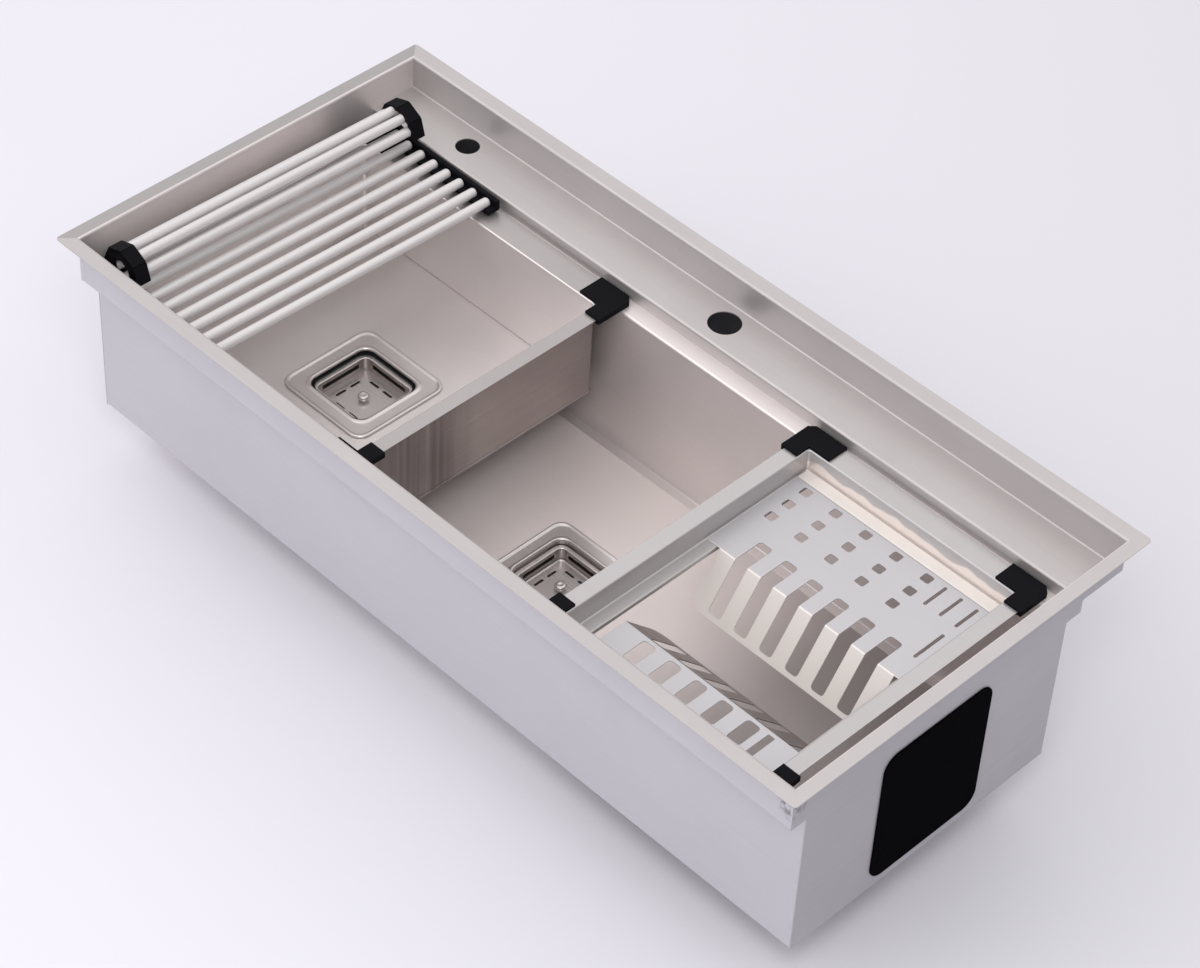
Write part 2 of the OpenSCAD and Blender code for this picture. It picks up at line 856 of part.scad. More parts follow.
module front_dish_sheet() {
    color("white")
        difference() {
            union() {
                plate(tray_ledge_top, sheet_top)
                    translate([tray_x - front_half, sheet_front])
                        square([front_half + sheet_width / 2, front_flat]);
                translate([0, front_fold_y, sheet_top])
                    comb(tray_x - front_half, tray_x + front_half, front_comb_angle,
                         front_comb_start, slot_count - 1, front_bridge);
            }
            translate([0, front_fold_y])
                mirror([0, 1, 0])
                    plate(tray_ledge_top - cut, sheet_top + cut) {
                        slot_row(front_comb_start, slot_count - 1, front_bridge, front_slot_run);
                        translate([tray_x + sheet_width / 2 - front_slit_edge - front_slit_width / 2,
                                   front_bridge])
                            square([front_slit_width, front_slot_run - front_bridge]);
                    }
        }
}

// Corner pad of a flange whose inner corner is at x, y; sx and sy point to its outer corner
module corner_pad(x, y, lip_x, lip_y, sx, sy) {
    out_x = lip_x + pad_wall_end;
    out_y = lip_y + pad_wall_side;
    sole = sheet + pad_gap;
    color("black")
        translate([x, y])
            scale([sx, sy, 1])
                difference() {
                    plate(flange_under - pad_sole, flange_top + pad_cap)
                        polygon([[-pad_reach_x, sole], [sole, sole], [sole, -pad_reach_y],
                                 [out_x, -pad_reach_y], [out_x, out_y - pad_chamfer],
                                 [out_x - pad_chamfer, out_y], [-pad_reach_x, out_y]]);
                    plate(flange_under, flange_top)
                        translate([-2 * pad_reach_x, -2 * pad_reach_y])
                            square([2 * pad_reach_x + lip_x, 2 * pad_reach_y + lip_y]);
                }
}

// Pad of the rinse bowl's flange at one corner
module rinse_pad(sx, sy) {
    corner_pad(sx > 0 ? rinse_x1 : rinse_x0, sy > 0 ? rinse_y1 : rinse_y0,
               rinse_lip_end, rinse_lip_side, sx, sy);
}

// Pad of the dish tray's flange at one corner
module tray_pad(sx, sy) {
    corner_pad(sx > 0 ? tray_x1 : tray_x0, sy > 0 ? tray_y1 : tray_y0,
               tray_lip_end, tray_lip_side, sx, sy);
}

// Frame of the rack: x = 0 at the rightmost tube, y along the tubes, z = 0 at their middle
module in_rack() {
    translate([rack_x, rack_y, tube_z])
        rotate(-rack_skew)
            children();
}

// Turns what follows up by the first n hinges of the rolled end; the first hinge turns half as far
module curled(n, j = 1) {
    hinge_x = -(flat_tubes - 0.5 + j - 1) * tube_pitch;
    angle = j == 1 ? curl_angle / 2 : curl_angle;
    if (j > n)
        children();
    else
        translate([hinge_x, 0, -hinge_drop])
            rotate([0, angle, 0])
                translate([-hinge_x, 0, hinge_drop])
                    curled(n, j + 1)
                        children();
}

// Hollow tube number i from the right, lying flat
module tube(i) {
    color("whitesmoke")
        translate([-i * tube_pitch, tube_length / 2, 0])
            rotate([90, 0, 0])
                difference() {
                    cylinder(h = tube_length, r = tube_r);
                    translate([0, 0, -cut])
                        cylinder(h = tube_length + 2 * cut, r = tube_r - tube_wall);
                }
}

// Web and sockets of a strip for the tubes from first to last, at the side given as -1 or 1
module strip(first, last, tab, side) {
    start = -(last + 0.5) * tube_pitch + web_gap / 2;
    end = tab ? strip_tab : -(first - 0.5) * tube_pitch - web_gap / 2;
    color("black")
        difference() {
            translate([0, side * strip_middle + strip_width / 2, 0])
                rotate([90, 0, 0])
                    linear_extrude(strip_width)
                        union() {
                            translate([start, -socket_r])
                                square([end - start, web_t]);
                            for (i = [first:last])
                                translate([-i * tube_pitch, 0])
                                    circle(socket_r);
                        }
            for (i = [first:last])
                translate([-i * tube_pitch, tube_length / 2 + tube_fit, 0])
                    rotate([90, 0, 0])
                        cylinder(h = tube_length + 2 * tube_fit, r = tube_r + tube_fit);
        }
}

module rack_tube(i) {
    in_rack()
        tube(i - 1);
}

module rack_strip_rear() {
    in_rack()
        strip(0, flat_tubes - 1, true, 1);
}

module rack_strip_front() {
    in_rack()
        strip(0, flat_tubes - 1, true, -1);
}

module rolled_tube(i) {
    in_rack()
        curled(i)
            tube(flat_tubes - 1 + i);
}

// Both end pieces of one rolled link; the last one ends at its socket
module rolled_link(i) {
    place = flat_tubes - 1 + i;
    trim = i == rolled_tubes ? -place * tube_pitch - socket_r : -(place + 1) * tube_pitch;
    in_rack()
        curled(i)
            intersection() {
                union() {
                    strip(place, place, false, 1);
                    strip(place, place, false, -1);
                }
                translate([trim, -rack_length / 2, -2 * socket_r])
                    cube([2 * tube_pitch, rack_length, 4 * socket_r]);
            }
}

front_wall();
rear_wall();
tap_deck();
tap_hole_sleeve();
side_hole_sleeve();
bowl_floor();
end_plate_left();
end_plate_right();
sound_pad_left();
sound_pad_right();
floor_pad_left();
floor_pad_right();
waste_body();
waste_seal();
waste_clamp();
waste_tail();
strainer_basket();
strainer_knob();
rinse_bowl();
rinse_waste_body();
rinse_waste_seal();
rinse_waste_clamp();
rinse_waste_tail();
rinse_strainer_basket();
rinse_strainer_knob();
dish_tray();
rear_dish_sheet();
front_dish_sheet();
rack_strip_rear();
rack_strip_front();
rinse_pad(-1, -1);  // rinse_pad_front_left
rinse_pad(1, -1);  // rinse_pad_front_right
rinse_pad(-1, 1);  // rinse_pad_rear_left
rinse_pad(1, 1);  // rinse_pad_rear_right
tray_pad(-1, -1);  // tray_pad_front_left
tray_pad(1, -1);  // tray_pad_front_right
tray_pad(-1, 1);  // tray_pad_rear_left
tray_pad(1, 1);  // tray_pad_rear_right
for (i = [1:flat_tubes])
    rack_tube(i);
for (i = [1:rolled_tubes])
    rolled_tube(i);
for (i = [1:rolled_tubes])
    rolled_link(i);
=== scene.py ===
# %% [markdown]
# # An inset kitchen sink with its rinse bowl, dish tray and roll-up rack
# The real object is a large folded steel sink that hangs in a worktop by a flat lip. Two smaller
# steel pieces slide on ledges inside it, and a rack of steel tubes lies over one of them. The CAD
# model gives every size and every joint. This script dresses it: each cell makes one kind of piece
# or finish and says what it is on the real thing.

# %% Load the frame
import json
import math
import bmesh
import bpy
from mathutils import Matrix, Vector

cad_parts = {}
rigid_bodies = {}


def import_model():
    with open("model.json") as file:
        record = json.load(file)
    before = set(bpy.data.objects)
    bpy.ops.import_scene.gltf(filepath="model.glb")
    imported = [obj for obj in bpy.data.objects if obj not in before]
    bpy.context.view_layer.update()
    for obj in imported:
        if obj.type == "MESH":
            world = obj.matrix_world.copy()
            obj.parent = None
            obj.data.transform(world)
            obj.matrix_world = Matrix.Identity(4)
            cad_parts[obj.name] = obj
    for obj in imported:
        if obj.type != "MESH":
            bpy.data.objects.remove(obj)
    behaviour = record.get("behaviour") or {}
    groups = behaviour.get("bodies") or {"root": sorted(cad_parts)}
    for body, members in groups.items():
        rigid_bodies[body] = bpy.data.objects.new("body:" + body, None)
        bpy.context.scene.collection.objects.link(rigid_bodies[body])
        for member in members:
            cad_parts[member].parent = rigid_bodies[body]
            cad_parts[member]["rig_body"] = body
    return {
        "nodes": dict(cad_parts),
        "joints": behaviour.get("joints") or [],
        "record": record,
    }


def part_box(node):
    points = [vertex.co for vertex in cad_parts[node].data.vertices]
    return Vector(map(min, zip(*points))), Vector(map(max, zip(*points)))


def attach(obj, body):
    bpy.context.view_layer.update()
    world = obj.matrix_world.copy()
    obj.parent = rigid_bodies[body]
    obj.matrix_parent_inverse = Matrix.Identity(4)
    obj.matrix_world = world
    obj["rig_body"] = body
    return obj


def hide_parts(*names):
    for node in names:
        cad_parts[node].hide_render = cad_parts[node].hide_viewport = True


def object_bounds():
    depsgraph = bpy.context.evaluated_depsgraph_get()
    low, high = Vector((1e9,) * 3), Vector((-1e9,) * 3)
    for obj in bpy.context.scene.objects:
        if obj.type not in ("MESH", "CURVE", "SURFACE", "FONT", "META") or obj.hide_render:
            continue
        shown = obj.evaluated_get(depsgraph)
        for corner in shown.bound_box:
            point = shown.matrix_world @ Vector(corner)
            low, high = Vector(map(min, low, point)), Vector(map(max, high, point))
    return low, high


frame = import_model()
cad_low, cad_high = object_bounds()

MM = 0.001
nodes = frame["nodes"]

# %% [markdown]
# ## The camera
# A product photograph like this one is taken from above, with a long lens that keeps straight edges
# nearly parallel. The camera stands in front and to the right and looks down by 44 degrees. Its
# direction is written as three angles, because they can be read and corrected one at a time.

# %% Camera
PICTURE_WIDTH = 1200
FOCAL_PIXELS = 3516.9
SENSOR = 36.0
azimuth, elevation, roll = (math.radians(a) for a in (-43.080, 43.884, 3.433))
eye = Vector((1704.6, -1792.8, 2249.6)) * MM
ahead = Vector((math.sin(azimuth) * math.cos(elevation), math.cos(azimuth) * math.cos(elevation),
                -math.sin(elevation)))
level = Vector((math.cos(azimuth), -math.sin(azimuth), 0))
upright = level.cross(ahead)
right = level * math.cos(roll) + upright * math.sin(roll)
above = upright * math.cos(roll) - level * math.sin(roll)

camera_data = bpy.data.cameras.new("camera")
camera_data.sensor_width = SENSOR
camera_data.lens = FOCAL_PIXELS / PICTURE_WIDTH * SENSOR
camera_data.clip_end = 20
camera = bpy.data.objects.new("camera", camera_data)
bpy.context.collection.objects.link(camera)
turn = Matrix((right, above, -ahead)).transposed().to_4x4()
camera.matrix_world = Matrix.Translation(eye) @ turn
bpy.context.scene.camera = camera
print("lens", round(camera_data.lens, 1), "mm")

# %% [markdown]
# ## Floor and light
# Steel has no colour of its own to show. It shows the room. So the room is a large, pale, soft
# surface: a floor painted brightest at the front left, with painted shade towards the rear right, a sky
# that dims towards the rear right, and three wide lamps. Many small lamps would give sparkling spots
# instead, and a sink is photographed without them.

# %% Floor
FLOOR_GAP = 0.0006
FLOOR_HALF = 6
floor_mesh = bpy.data.meshes.new("studio_floor")
bm = bmesh.new()
bmesh.ops.create_grid(bm, x_segments=1, y_segments=1, size=FLOOR_HALF)
bmesh.ops.translate(bm, vec=(0, 0, cad_low.z - FLOOR_GAP), verts=bm.verts)
bm.to_mesh(floor_mesh)
bm.free()
studio_floor = bpy.data.objects.new("studio_floor", floor_mesh)
bpy.context.collection.objects.link(studio_floor)
print("floor", round(FLOOR_GAP / MM, 1), "mm below the lowest point")


# %% Node helpers
def linked(tree, socket, value):
    if value is None:
        return
    if isinstance(value, (int, float, tuple)):
        socket.default_value = value
    else:
        tree.links.new(value, socket)


def math_node(tree, operation, a, b=None, c=None, clamp=False):
    node = tree.nodes.new("ShaderNodeMath")
    node.operation = operation
    node.use_clamp = clamp
    for socket, value in zip(node.inputs, (a, b, c)):
        linked(tree, socket, value)
    return node.outputs[0]


def colour_between(tree, factor, a, b):
    node = tree.nodes.new("ShaderNodeMix")
    node.data_type = "RGBA"
    for socket, value in zip((node.inputs[0], node.inputs[6], node.inputs[7]), (factor, a, b)):
        linked(tree, socket, value)
    return node.outputs[2]


def value_between(tree, factor, a, b):
    node = tree.nodes.new("ShaderNodeMix")
    for socket, value in zip((node.inputs[0], node.inputs[2], node.inputs[3]), (factor, a, b)):
        linked(tree, socket, value)
    return node.outputs[0]


def new_material(name):
    material = bpy.data.materials.new(name)
    material.use_nodes = True
    return material, material.node_tree, material.node_tree.nodes["Principled BSDF"]


def object_place(tree):
    """The place on the piece, whole and as its three axes."""
    place = tree.nodes.new("ShaderNodeTexCoord").outputs["Object"]
    axes = tree.nodes.new("ShaderNodeSeparateXYZ")
    tree.links.new(place, axes.inputs[0])
    return place, axes.outputs


# %% Floor colour
# Painted shade: the floor has its near colour at the front left and darkens towards the rear right.
FLOOR_NEAR = (0.79, 0.79, 0.85, 1)
FLOOR_SHADE = (0.66, 0.66, 0.70, 1)
# The floor turns to its painted shade colour, which stands for the sink's shadow, along this slope, in
# metres.
FADE_X, FADE_Y, FADE_GAIN, FADE_START = 0.55, 0.35, 0.8, 0.25
floor_material, tree, shader = new_material("pale_floor")
shader.inputs["Roughness"].default_value = 0.85
shader.inputs["Specular IOR Level"].default_value = 0.2
axes = object_place(tree)[1]
across = math_node(tree, "MULTIPLY_ADD", axes["Y"], FADE_Y, math_node(tree, "MULTIPLY", axes["X"], FADE_X))
far = math_node(tree, "MULTIPLY_ADD", across, FADE_GAIN, FADE_START, True)
tree.links.new(colour_between(tree, far, FLOOR_NEAR, FLOOR_SHADE), shader.inputs["Base Color"])
floor_mesh.materials.append(floor_material)

# %% World
LOW_SKY = (0.72, 0.71, 0.75, 1)
HIGH_SKY = (1.46, 1.41, 1.41, 1)
SKY_GAIN, SKY_START = 1.15, -0.1
# Strength at the front left and at the rear right, and the slope between them.
FRONT_SHARE, REAR_SHARE = 1.08, 0.42
DIM_X, DIM_Y, DIM_START = 0.42, 0.22, 0.42
world = bpy.data.worlds.new("studio")
bpy.context.scene.world = world
world.use_nodes = True
tree = world.node_tree
tree.nodes.clear()
output = tree.nodes.new("ShaderNodeOutputWorld")
background = tree.nodes.new("ShaderNodeBackground")
direction = tree.nodes.new("ShaderNodeTexCoord")
axes = tree.nodes.new("ShaderNodeSeparateXYZ")
tree.links.new(direction.outputs["Generated"], axes.inputs[0])
height = math_node(tree, "MULTIPLY_ADD", axes.outputs["Z"], SKY_GAIN, SKY_START, True)
rearward = math_node(tree, "MULTIPLY_ADD", axes.outputs["Y"], DIM_Y,
                     math_node(tree, "MULTIPLY_ADD", axes.outputs["X"], DIM_X, DIM_START), True)
tree.links.new(colour_between(tree, height, LOW_SKY, HIGH_SKY), background.inputs["Color"])
tree.links.new(value_between(tree, rearward, FRONT_SHARE, REAR_SHARE), background.inputs["Strength"])
tree.links.new(background.outputs[0], output.inputs["Surface"])


# %% Lamps
def soft_lamp(name, place, aim, size, watts):
    lamp = bpy.data.lights.new(name, "AREA")
    lamp.shape = "RECTANGLE"
    lamp.size, lamp.size_y = size
    lamp.energy = watts
    holder = bpy.data.objects.new(name, lamp)
    bpy.context.collection.objects.link(holder)
    holder.location = place
    holder.rotation_euler = (Vector(aim) - Vector(place)).to_track_quat("-Z", "Y").to_euler()


BODY_MIDDLE = (0, 0, -0.1)
soft_lamp("front_left_lamp", (-1.5, -2.0, 2.2), BODY_MIDDLE, (2.2, 1.6), 10)
soft_lamp("rear_lamp", (0.6, 2.0, 2.4), BODY_MIDDLE, (2.0, 1.4), 4)
soft_lamp("bowl_lamp", (1.3, -1.3, 2.1), (-0.1, 0.05, -0.23), (0.8, 0.8), 15)

# %% [markdown]
# ## Brushed steel
# Sink steel is brushed: thousands of fine scratches run one way, along each sheet. They make the
# gloss streaky and a little uneven. The scratches could be painted in a picture, but a stretched
# noise gives them at any distance. The group puts out a colour, a roughness and a height, and each
# steel keeps its own shader, so the rim, the bowls and the tubes can differ.


# %% Group and noise helpers
def new_group(name, inputs, outputs):
    group = bpy.data.node_groups.new(name, "ShaderNodeTree")
    for label, kind, value in inputs:
        group.interface.new_socket(label, in_out="INPUT", socket_type=kind).default_value = value
    for label, kind in outputs:
        group.interface.new_socket(label, in_out="OUTPUT", socket_type=kind)
    return group, group.nodes.new("NodeGroupInput"), group.nodes.new("NodeGroupOutput")


def noise(tree, place, scale, detail=3.0, roughness=0.6):
    node = tree.nodes.new("ShaderNodeTexNoise")
    node.inputs["Scale"].default_value = scale
    node.inputs["Detail"].default_value = detail
    node.inputs["Roughness"].default_value = roughness
    tree.links.new(place, node.inputs["Vector"])
    return node.outputs[0]


def stretched(tree, place, scale):
    node = tree.nodes.new("ShaderNodeMapping")
    node.inputs["Scale"].default_value = scale
    tree.links.new(place, node.inputs["Vector"])
    return node.outputs[0]


def bumped(tree, shader, height, strength, depth):
    bump = tree.nodes.new("ShaderNodeBump")
    bump.inputs["Strength"].default_value = strength
    bump.inputs["Distance"].default_value = depth
    tree.links.new(height, bump.inputs["Height"])
    tree.links.new(bump.outputs[0], shader.inputs["Normal"])


# %% Brushed grain group
# Scale of the scratches along and across them, and how far a face turns sideways to be an end wall.
ALONG, ACROSS = 6, 900
END_FACING = 0.7
CLOUD_SCALE, CLOUD_TONE, CLOUD_GLOSS = 9.0, 0.8, 0.12
grain, g_in, g_out = new_group(
    "brushed_grain",
    [("Colour", "NodeSocketColor", (0.6, 0.6, 0.6, 1)),
     ("Dull Colour", "NodeSocketColor", (0.5, 0.5, 0.5, 1)),
     ("Roughness", "NodeSocketFloat", 0.35), ("Streaks", "NodeSocketFloat", 0.1)],
    [("Colour", "NodeSocketColor"), ("Roughness", "NodeSocketFloat"), ("Height", "NodeSocketFloat")])
place = grain.nodes.new("ShaderNodeTexCoord").outputs["Object"]
facing = grain.nodes.new("ShaderNodeNewGeometry")
axes = grain.nodes.new("ShaderNodeSeparateXYZ")
grain.links.new(facing.outputs["True Normal"], axes.inputs[0])
end_wall = math_node(grain, "GREATER_THAN", math_node(grain, "ABSOLUTE", axes.outputs["X"]), END_FACING)
along_x = noise(grain, stretched(grain, place, (ALONG, ACROSS, ACROSS)), 1.0, 4.0)
along_y = noise(grain, stretched(grain, place, (ACROSS, ALONG, ACROSS)), 1.0, 4.0)
scratches = value_between(grain, end_wall, along_x, along_y)
clouds = noise(grain, place, CLOUD_SCALE, 3.0, 0.5)
streak = math_node(grain, "MULTIPLY", math_node(grain, "SUBTRACT", scratches, 0.5), g_in.outputs["Streaks"])
cloud = math_node(grain, "MULTIPLY", math_node(grain, "SUBTRACT", clouds, 0.5), CLOUD_GLOSS)
grain.links.new(colour_between(grain, math_node(grain, "MULTIPLY_ADD", clouds, CLOUD_TONE, streak, True),
                               g_in.outputs["Colour"], g_in.outputs["Dull Colour"]), g_out.inputs["Colour"])
grain.links.new(math_node(grain, "ADD", g_in.outputs["Roughness"], math_node(grain, "ADD", streak, cloud)),
                g_out.inputs["Roughness"])
grain.links.new(scratches, g_out.inputs["Height"])
print("group", grain.name, "with", len(grain.nodes), "nodes")

# %% Steel materials
SCRATCH_DEPTH = 0.0002


def steel(name, colour, dull, roughness, metallic, streaks=0.25, bump=0.25):
    material, tree, shader = new_material(name)
    shader.inputs["Metallic"].default_value = metallic
    group = tree.nodes.new("ShaderNodeGroup")
    group.node_tree = grain
    for label, value in (("Colour", (*colour, 1)), ("Dull Colour", (*dull, 1)), ("Roughness", roughness),
                         ("Streaks", streaks)):
        group.inputs[label].default_value = value
    tree.links.new(group.outputs["Colour"], shader.inputs["Base Color"])
    tree.links.new(group.outputs["Roughness"], shader.inputs["Roughness"])
    bumped(tree, shader, group.outputs["Height"], bump, SCRATCH_DEPTH)
    return material


# Colour, dull colour, roughness, metallic share, streaks and bump.
bowl_steel = steel("bowl_steel", (0.60, 0.575, 0.57), (0.51, 0.485, 0.48), 0.48, 0.70, 0.30)
# Painted light: the bowls' inner faces get a brighter copy of the steel.
inside_lit_steel = steel("inside_lit_steel", (0.84, 0.79, 0.78), (0.72, 0.67, 0.66), 0.42, 0.60, 0.30)
outside_steel = steel("outside_steel", (0.62, 0.605, 0.64), (0.56, 0.545, 0.575), 0.50, 0.50, 0.30)
# Painted shade: the end plates' outer faces get a darker copy of the steel.
end_shade_steel = steel("end_shade_steel", (0.50, 0.488, 0.515), (0.42, 0.41, 0.435), 0.50, 0.50, 0.30)
# Painted shade: the left rim gets a darker copy of the steel.
left_rim_shade_steel = steel("left_rim_shade_steel", (0.46, 0.445, 0.44), (0.38, 0.365, 0.36), 0.46, 0.70, 0.30)
# Painted light: the main bowl's floor gets a much brighter copy of the steel.
floor_lit_steel = steel("floor_lit_steel", (0.92, 0.85, 0.83), (0.83, 0.76, 0.74), 0.48, 0.30)
# Painted light: the rinse bowl's inside gets a brighter copy of the steel.
rinse_steel = steel("rinse_steel", (0.85, 0.81, 0.80), (0.68, 0.64, 0.63), 0.34, 0.70)
flange_steel = steel("flange_steel", (0.49, 0.465, 0.46), (0.42, 0.395, 0.39), 0.42, 0.70)
# Painted shade and painted reflection: the rinse bowl's outside, the front comb's back and the baskets' walls
# get a dark copy of the steel.
outer_shade_steel = steel("outer_shade_steel", (0.41, 0.37, 0.36), (0.30, 0.265, 0.255), 0.36, 0.85, 0.45, 0.3)
tray_steel = steel("tray_steel", (0.57, 0.555, 0.555), (0.51, 0.495, 0.495), 0.40, 0.70)
# The tray's back wall gets its own copy of the steel, which carries a cream band of painted light.
tray_back_steel = steel("tray_back_steel", (0.57, 0.555, 0.56), (0.51, 0.495, 0.50), 0.40, 0.50)
# Painted light: the rear comb and its hem get a pale cream copy of the steel.
cream_lit_steel = steel("cream_lit_steel", (0.86, 0.82, 0.78), (0.76, 0.72, 0.68), 0.42, 0.35, 0.25, 0.2)
sheet_steel = steel("sheet_steel", (0.575, 0.57, 0.592), (0.525, 0.52, 0.54), 0.46, 0.45, 0.15, 0.15)
tube_steel = steel("tube_steel", (0.74, 0.72, 0.72), (0.68, 0.66, 0.66), 0.45, 0.3, 0.15, 0.15)
waste_steel = steel("waste_steel", (0.72, 0.685, 0.675), (0.64, 0.605, 0.595), 0.30, 0.75, 0.15, 0.10)
# Painted shade: the cups below the waste floors get a dark copy of the steel.
cup_shade_steel = steel("cup_shade_steel", (0.34, 0.30, 0.29), (0.26, 0.225, 0.215), 0.34, 0.85, 0.3, 0.2)
print("steels", [m.name for m in bpy.data.materials if "steel" in m.name])

# %% [markdown]
# ## Rubber, plastic and the sound pads
# The corner pads and the rack's strips are moulded silicone: black, matt, with a very fine skin. The
# sound pads are a heavier sheet with a coarser grain that hardly shines. One helper makes them all
# from a noise, with the size of the grain as its value.

# %% Black materials
SKIN_DEPTH = 0.0003
SKIN_PALER, SKIN_DULLER, SKIN_GLOSSIER = 1.8, 0.25, 0.12


def soft_black(name, colour, roughness, scale, bump, gloss):
    material, tree, shader = new_material(name)
    shader.inputs["Specular IOR Level"].default_value = gloss
    skin = noise(tree, tree.nodes.new("ShaderNodeTexCoord").outputs["Object"], scale, 4.0)
    paler = [value * SKIN_PALER for value in colour]
    tree.links.new(colour_between(tree, skin, (*colour, 1), (*paler, 1)), shader.inputs["Base Color"])
    tree.links.new(math_node(tree, "MULTIPLY_ADD", skin, SKIN_DULLER, roughness - SKIN_GLOSSIER),
                   shader.inputs["Roughness"])
    bumped(tree, shader, skin, bump, SKIN_DEPTH)
    return material


# Colour, roughness, scale of the skin, bump and gloss.
pad_rubber = soft_black("pad_rubber", (0.0038, 0.0038, 0.0052), 0.60, 900, 0.2, 0.06)
damper_black = soft_black("damper_black", (0.0013, 0.0011, 0.0017), 0.90, 420, 0.5, 0.02)
waste_plastic = soft_black("waste_plastic", (0.020, 0.020, 0.022), 0.5, 700, 0.2, 0.3)

# %% Materials of the CAD nodes
slot_material = {"bowl_steel": bowl_steel, "rinse_steel": rinse_steel, "tray_steel": tray_steel,
                 "sheet_steel": sheet_steel, "waste_steel": waste_steel, "tube_steel": tube_steel,
                 "pad_rubber": pad_rubber, "strip_rubber": pad_rubber, "damper": damper_black,
                 "waste_plastic": waste_plastic}
node_slot = {entry["node"]: entry["material_slot"] for entry in frame["record"]["subparts"]}
for node, slot_name in node_slot.items():
    for slot in nodes[node].material_slots:
        slot.material = slot_material[slot_name]
print("slots", sorted(slot_material))

# %% [markdown]
# ## How the pieces are made
# Nearly all of a sink is folded or pressed sheet. So most pieces start as flat rounded outlines that
# are bridged into a thin surface, get round bends with a bevel, and only then a thickness. Blocks cut
# from the solid would need their insides cut out again. A last small bevel breaks the edges, as a file
# does in the workshop, because an edge without it never catches light.


# %% Outlines and bends
def ring(bm, x0, x1, y0, y1, z, radius, steps=6):
    """A flat rectangle with round corners: one grid face whose corner points are bevelled."""
    old = set(bm.verts)
    bmesh.ops.create_grid(bm, x_segments=1, y_segments=1, size=0.5)
    corners = [v for v in bm.verts if v not in old]
    bmesh.ops.scale(bm, vec=((x1 - x0) * MM, (y1 - y0) * MM, 1), verts=corners)
    bmesh.ops.translate(bm, vec=((x0 + x1) / 2 * MM, (y0 + y1) / 2 * MM, z * MM), verts=corners)
    if radius:
        bmesh.ops.bevel(bm, geom=corners, offset=radius * MM, offset_type="OFFSET", segments=steps,
                        profile=0.5, affect="VERTICES", material=-1)
    verts = [v for v in bm.verts if v not in old]
    return verts, verts[0].link_faces[0]


def bridged(bm, rings, end_face=False):
    """Joins the rings one after another into a surface. The last one keeps its face if asked."""
    made = [ring(bm, *values) for values in rings]
    loops = [list(face.edges) for _, face in made]
    open_faces = [face for _, face in (made[:-1] if end_face else made)]
    bmesh.ops.delete(bm, geom=open_faces, context="FACES_ONLY")
    for above_loop, below_loop in zip(loops, loops[1:]):
        bmesh.ops.bridge_loops(bm, edges=above_loop + below_loop)
    return [verts for verts, _ in made]


def round_fold(bm, verts, radius, steps=4):
    """Rounds the fold that runs through these points."""
    chosen = set(verts)
    edges = [e for e in bm.edges if e.verts[0] in chosen and e.verts[1] in chosen]
    bmesh.ops.bevel(bm, geom=edges, offset=radius * MM, offset_type="OFFSET", segments=steps,
                    profile=0.5, affect="EDGES", material=-1)


def level_faces(bm):
    return [face for face in bm.faces if abs(face.normal.z) > 0.99]


def opened(bm, holes):
    """Cuts rounded holes into the largest flat face of a pressed piece, which is its floor."""
    bm.normal_update()
    faces = [max(level_faces(bm), key=lambda face: face.calc_area())]
    faces += [ring(bm, *hole)[1] for hole in holes]
    edges = [edge for face in faces for edge in face.edges]
    bmesh.ops.delete(bm, geom=faces, context="FACES_ONLY")
    bmesh.ops.triangle_fill(bm, use_beauty=True, use_dissolve=False, edges=edges, normal=(0, 0, 1))


def facing_up(bm):
    """Turns an open surface so that its highest flat face looks up."""
    bmesh.ops.recalc_face_normals(bm, faces=bm.faces)
    top_face = max(level_faces(bm), key=lambda face: face.calc_center_median().z)
    if top_face.normal.z < 0:
        bmesh.ops.reverse_faces(bm, faces=bm.faces)


# %% Finishing a piece
# A sharper angle than the first is an edge; nearer points than the second are one; the third is flat.
SHARP = math.radians(40)
DOUBLES = 0.000002
FLAT = math.radians(0.5)


def piece(name, bm, node, wall=0.0, edge=0.25, steps=2, materials=None):
    """Makes the object, gives a sheet its thickness, breaks its edges and puts it in place of a node."""
    mesh = bpy.data.meshes.new(name)
    bm.to_mesh(mesh)
    bm.free()
    for material in materials or [slot_material[node_slot[node]]]:
        mesh.materials.append(material)
    mesh.polygons.foreach_set("use_smooth", [True] * len(mesh.polygons))
    mesh.set_sharp_from_angle(angle=SHARP)
    made = bpy.data.objects.new(name, mesh)
    bpy.context.collection.objects.link(made)
    if wall:
        solid = made.modifiers.new("wall", "SOLIDIFY")
        solid.thickness = wall * MM
        solid.offset = -1
    if edge:
        bevel = made.modifiers.new("edge", "BEVEL")
        bevel.width = edge * MM
        bevel.segments = steps
        bevel.limit_method = "ANGLE"
        bevel.angle_limit = SHARP
        bevel.harden_normals = True
    shading = made.modifiers.new("flat_faces", "WEIGHTED_NORMAL")
    shading.keep_sharp = True
    shading.weight = 90
    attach(made, nodes[node]["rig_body"])
    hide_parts(node)
    return made


def softened(node, edge, steps=2, materials=None):
    """A merged copy of a CAD node with its edges broken, for a node whose shape is right."""
    bm = bmesh.new()
    bm.from_mesh(nodes[node].data)
    bmesh.ops.remove_doubles(bm, verts=bm.verts, dist=DOUBLES)
    bmesh.ops.dissolve_limit(bm, angle_limit=FLAT, verts=bm.verts, edges=bm.edges)
    return piece(node + "_dressed", bm, node, edge=edge, steps=steps, materials=materials)


def paint(made, index, chosen):
    """Gives the faces that the test picks another of the piece's materials."""
    for face in made.data.polygons:
        if chosen(face.normal, face.center / MM):
            face.material_index = index


def middle(node):
    """The middle of a node's box, in millimetres."""
    low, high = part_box(node)
    return (low + high) / 2 / MM


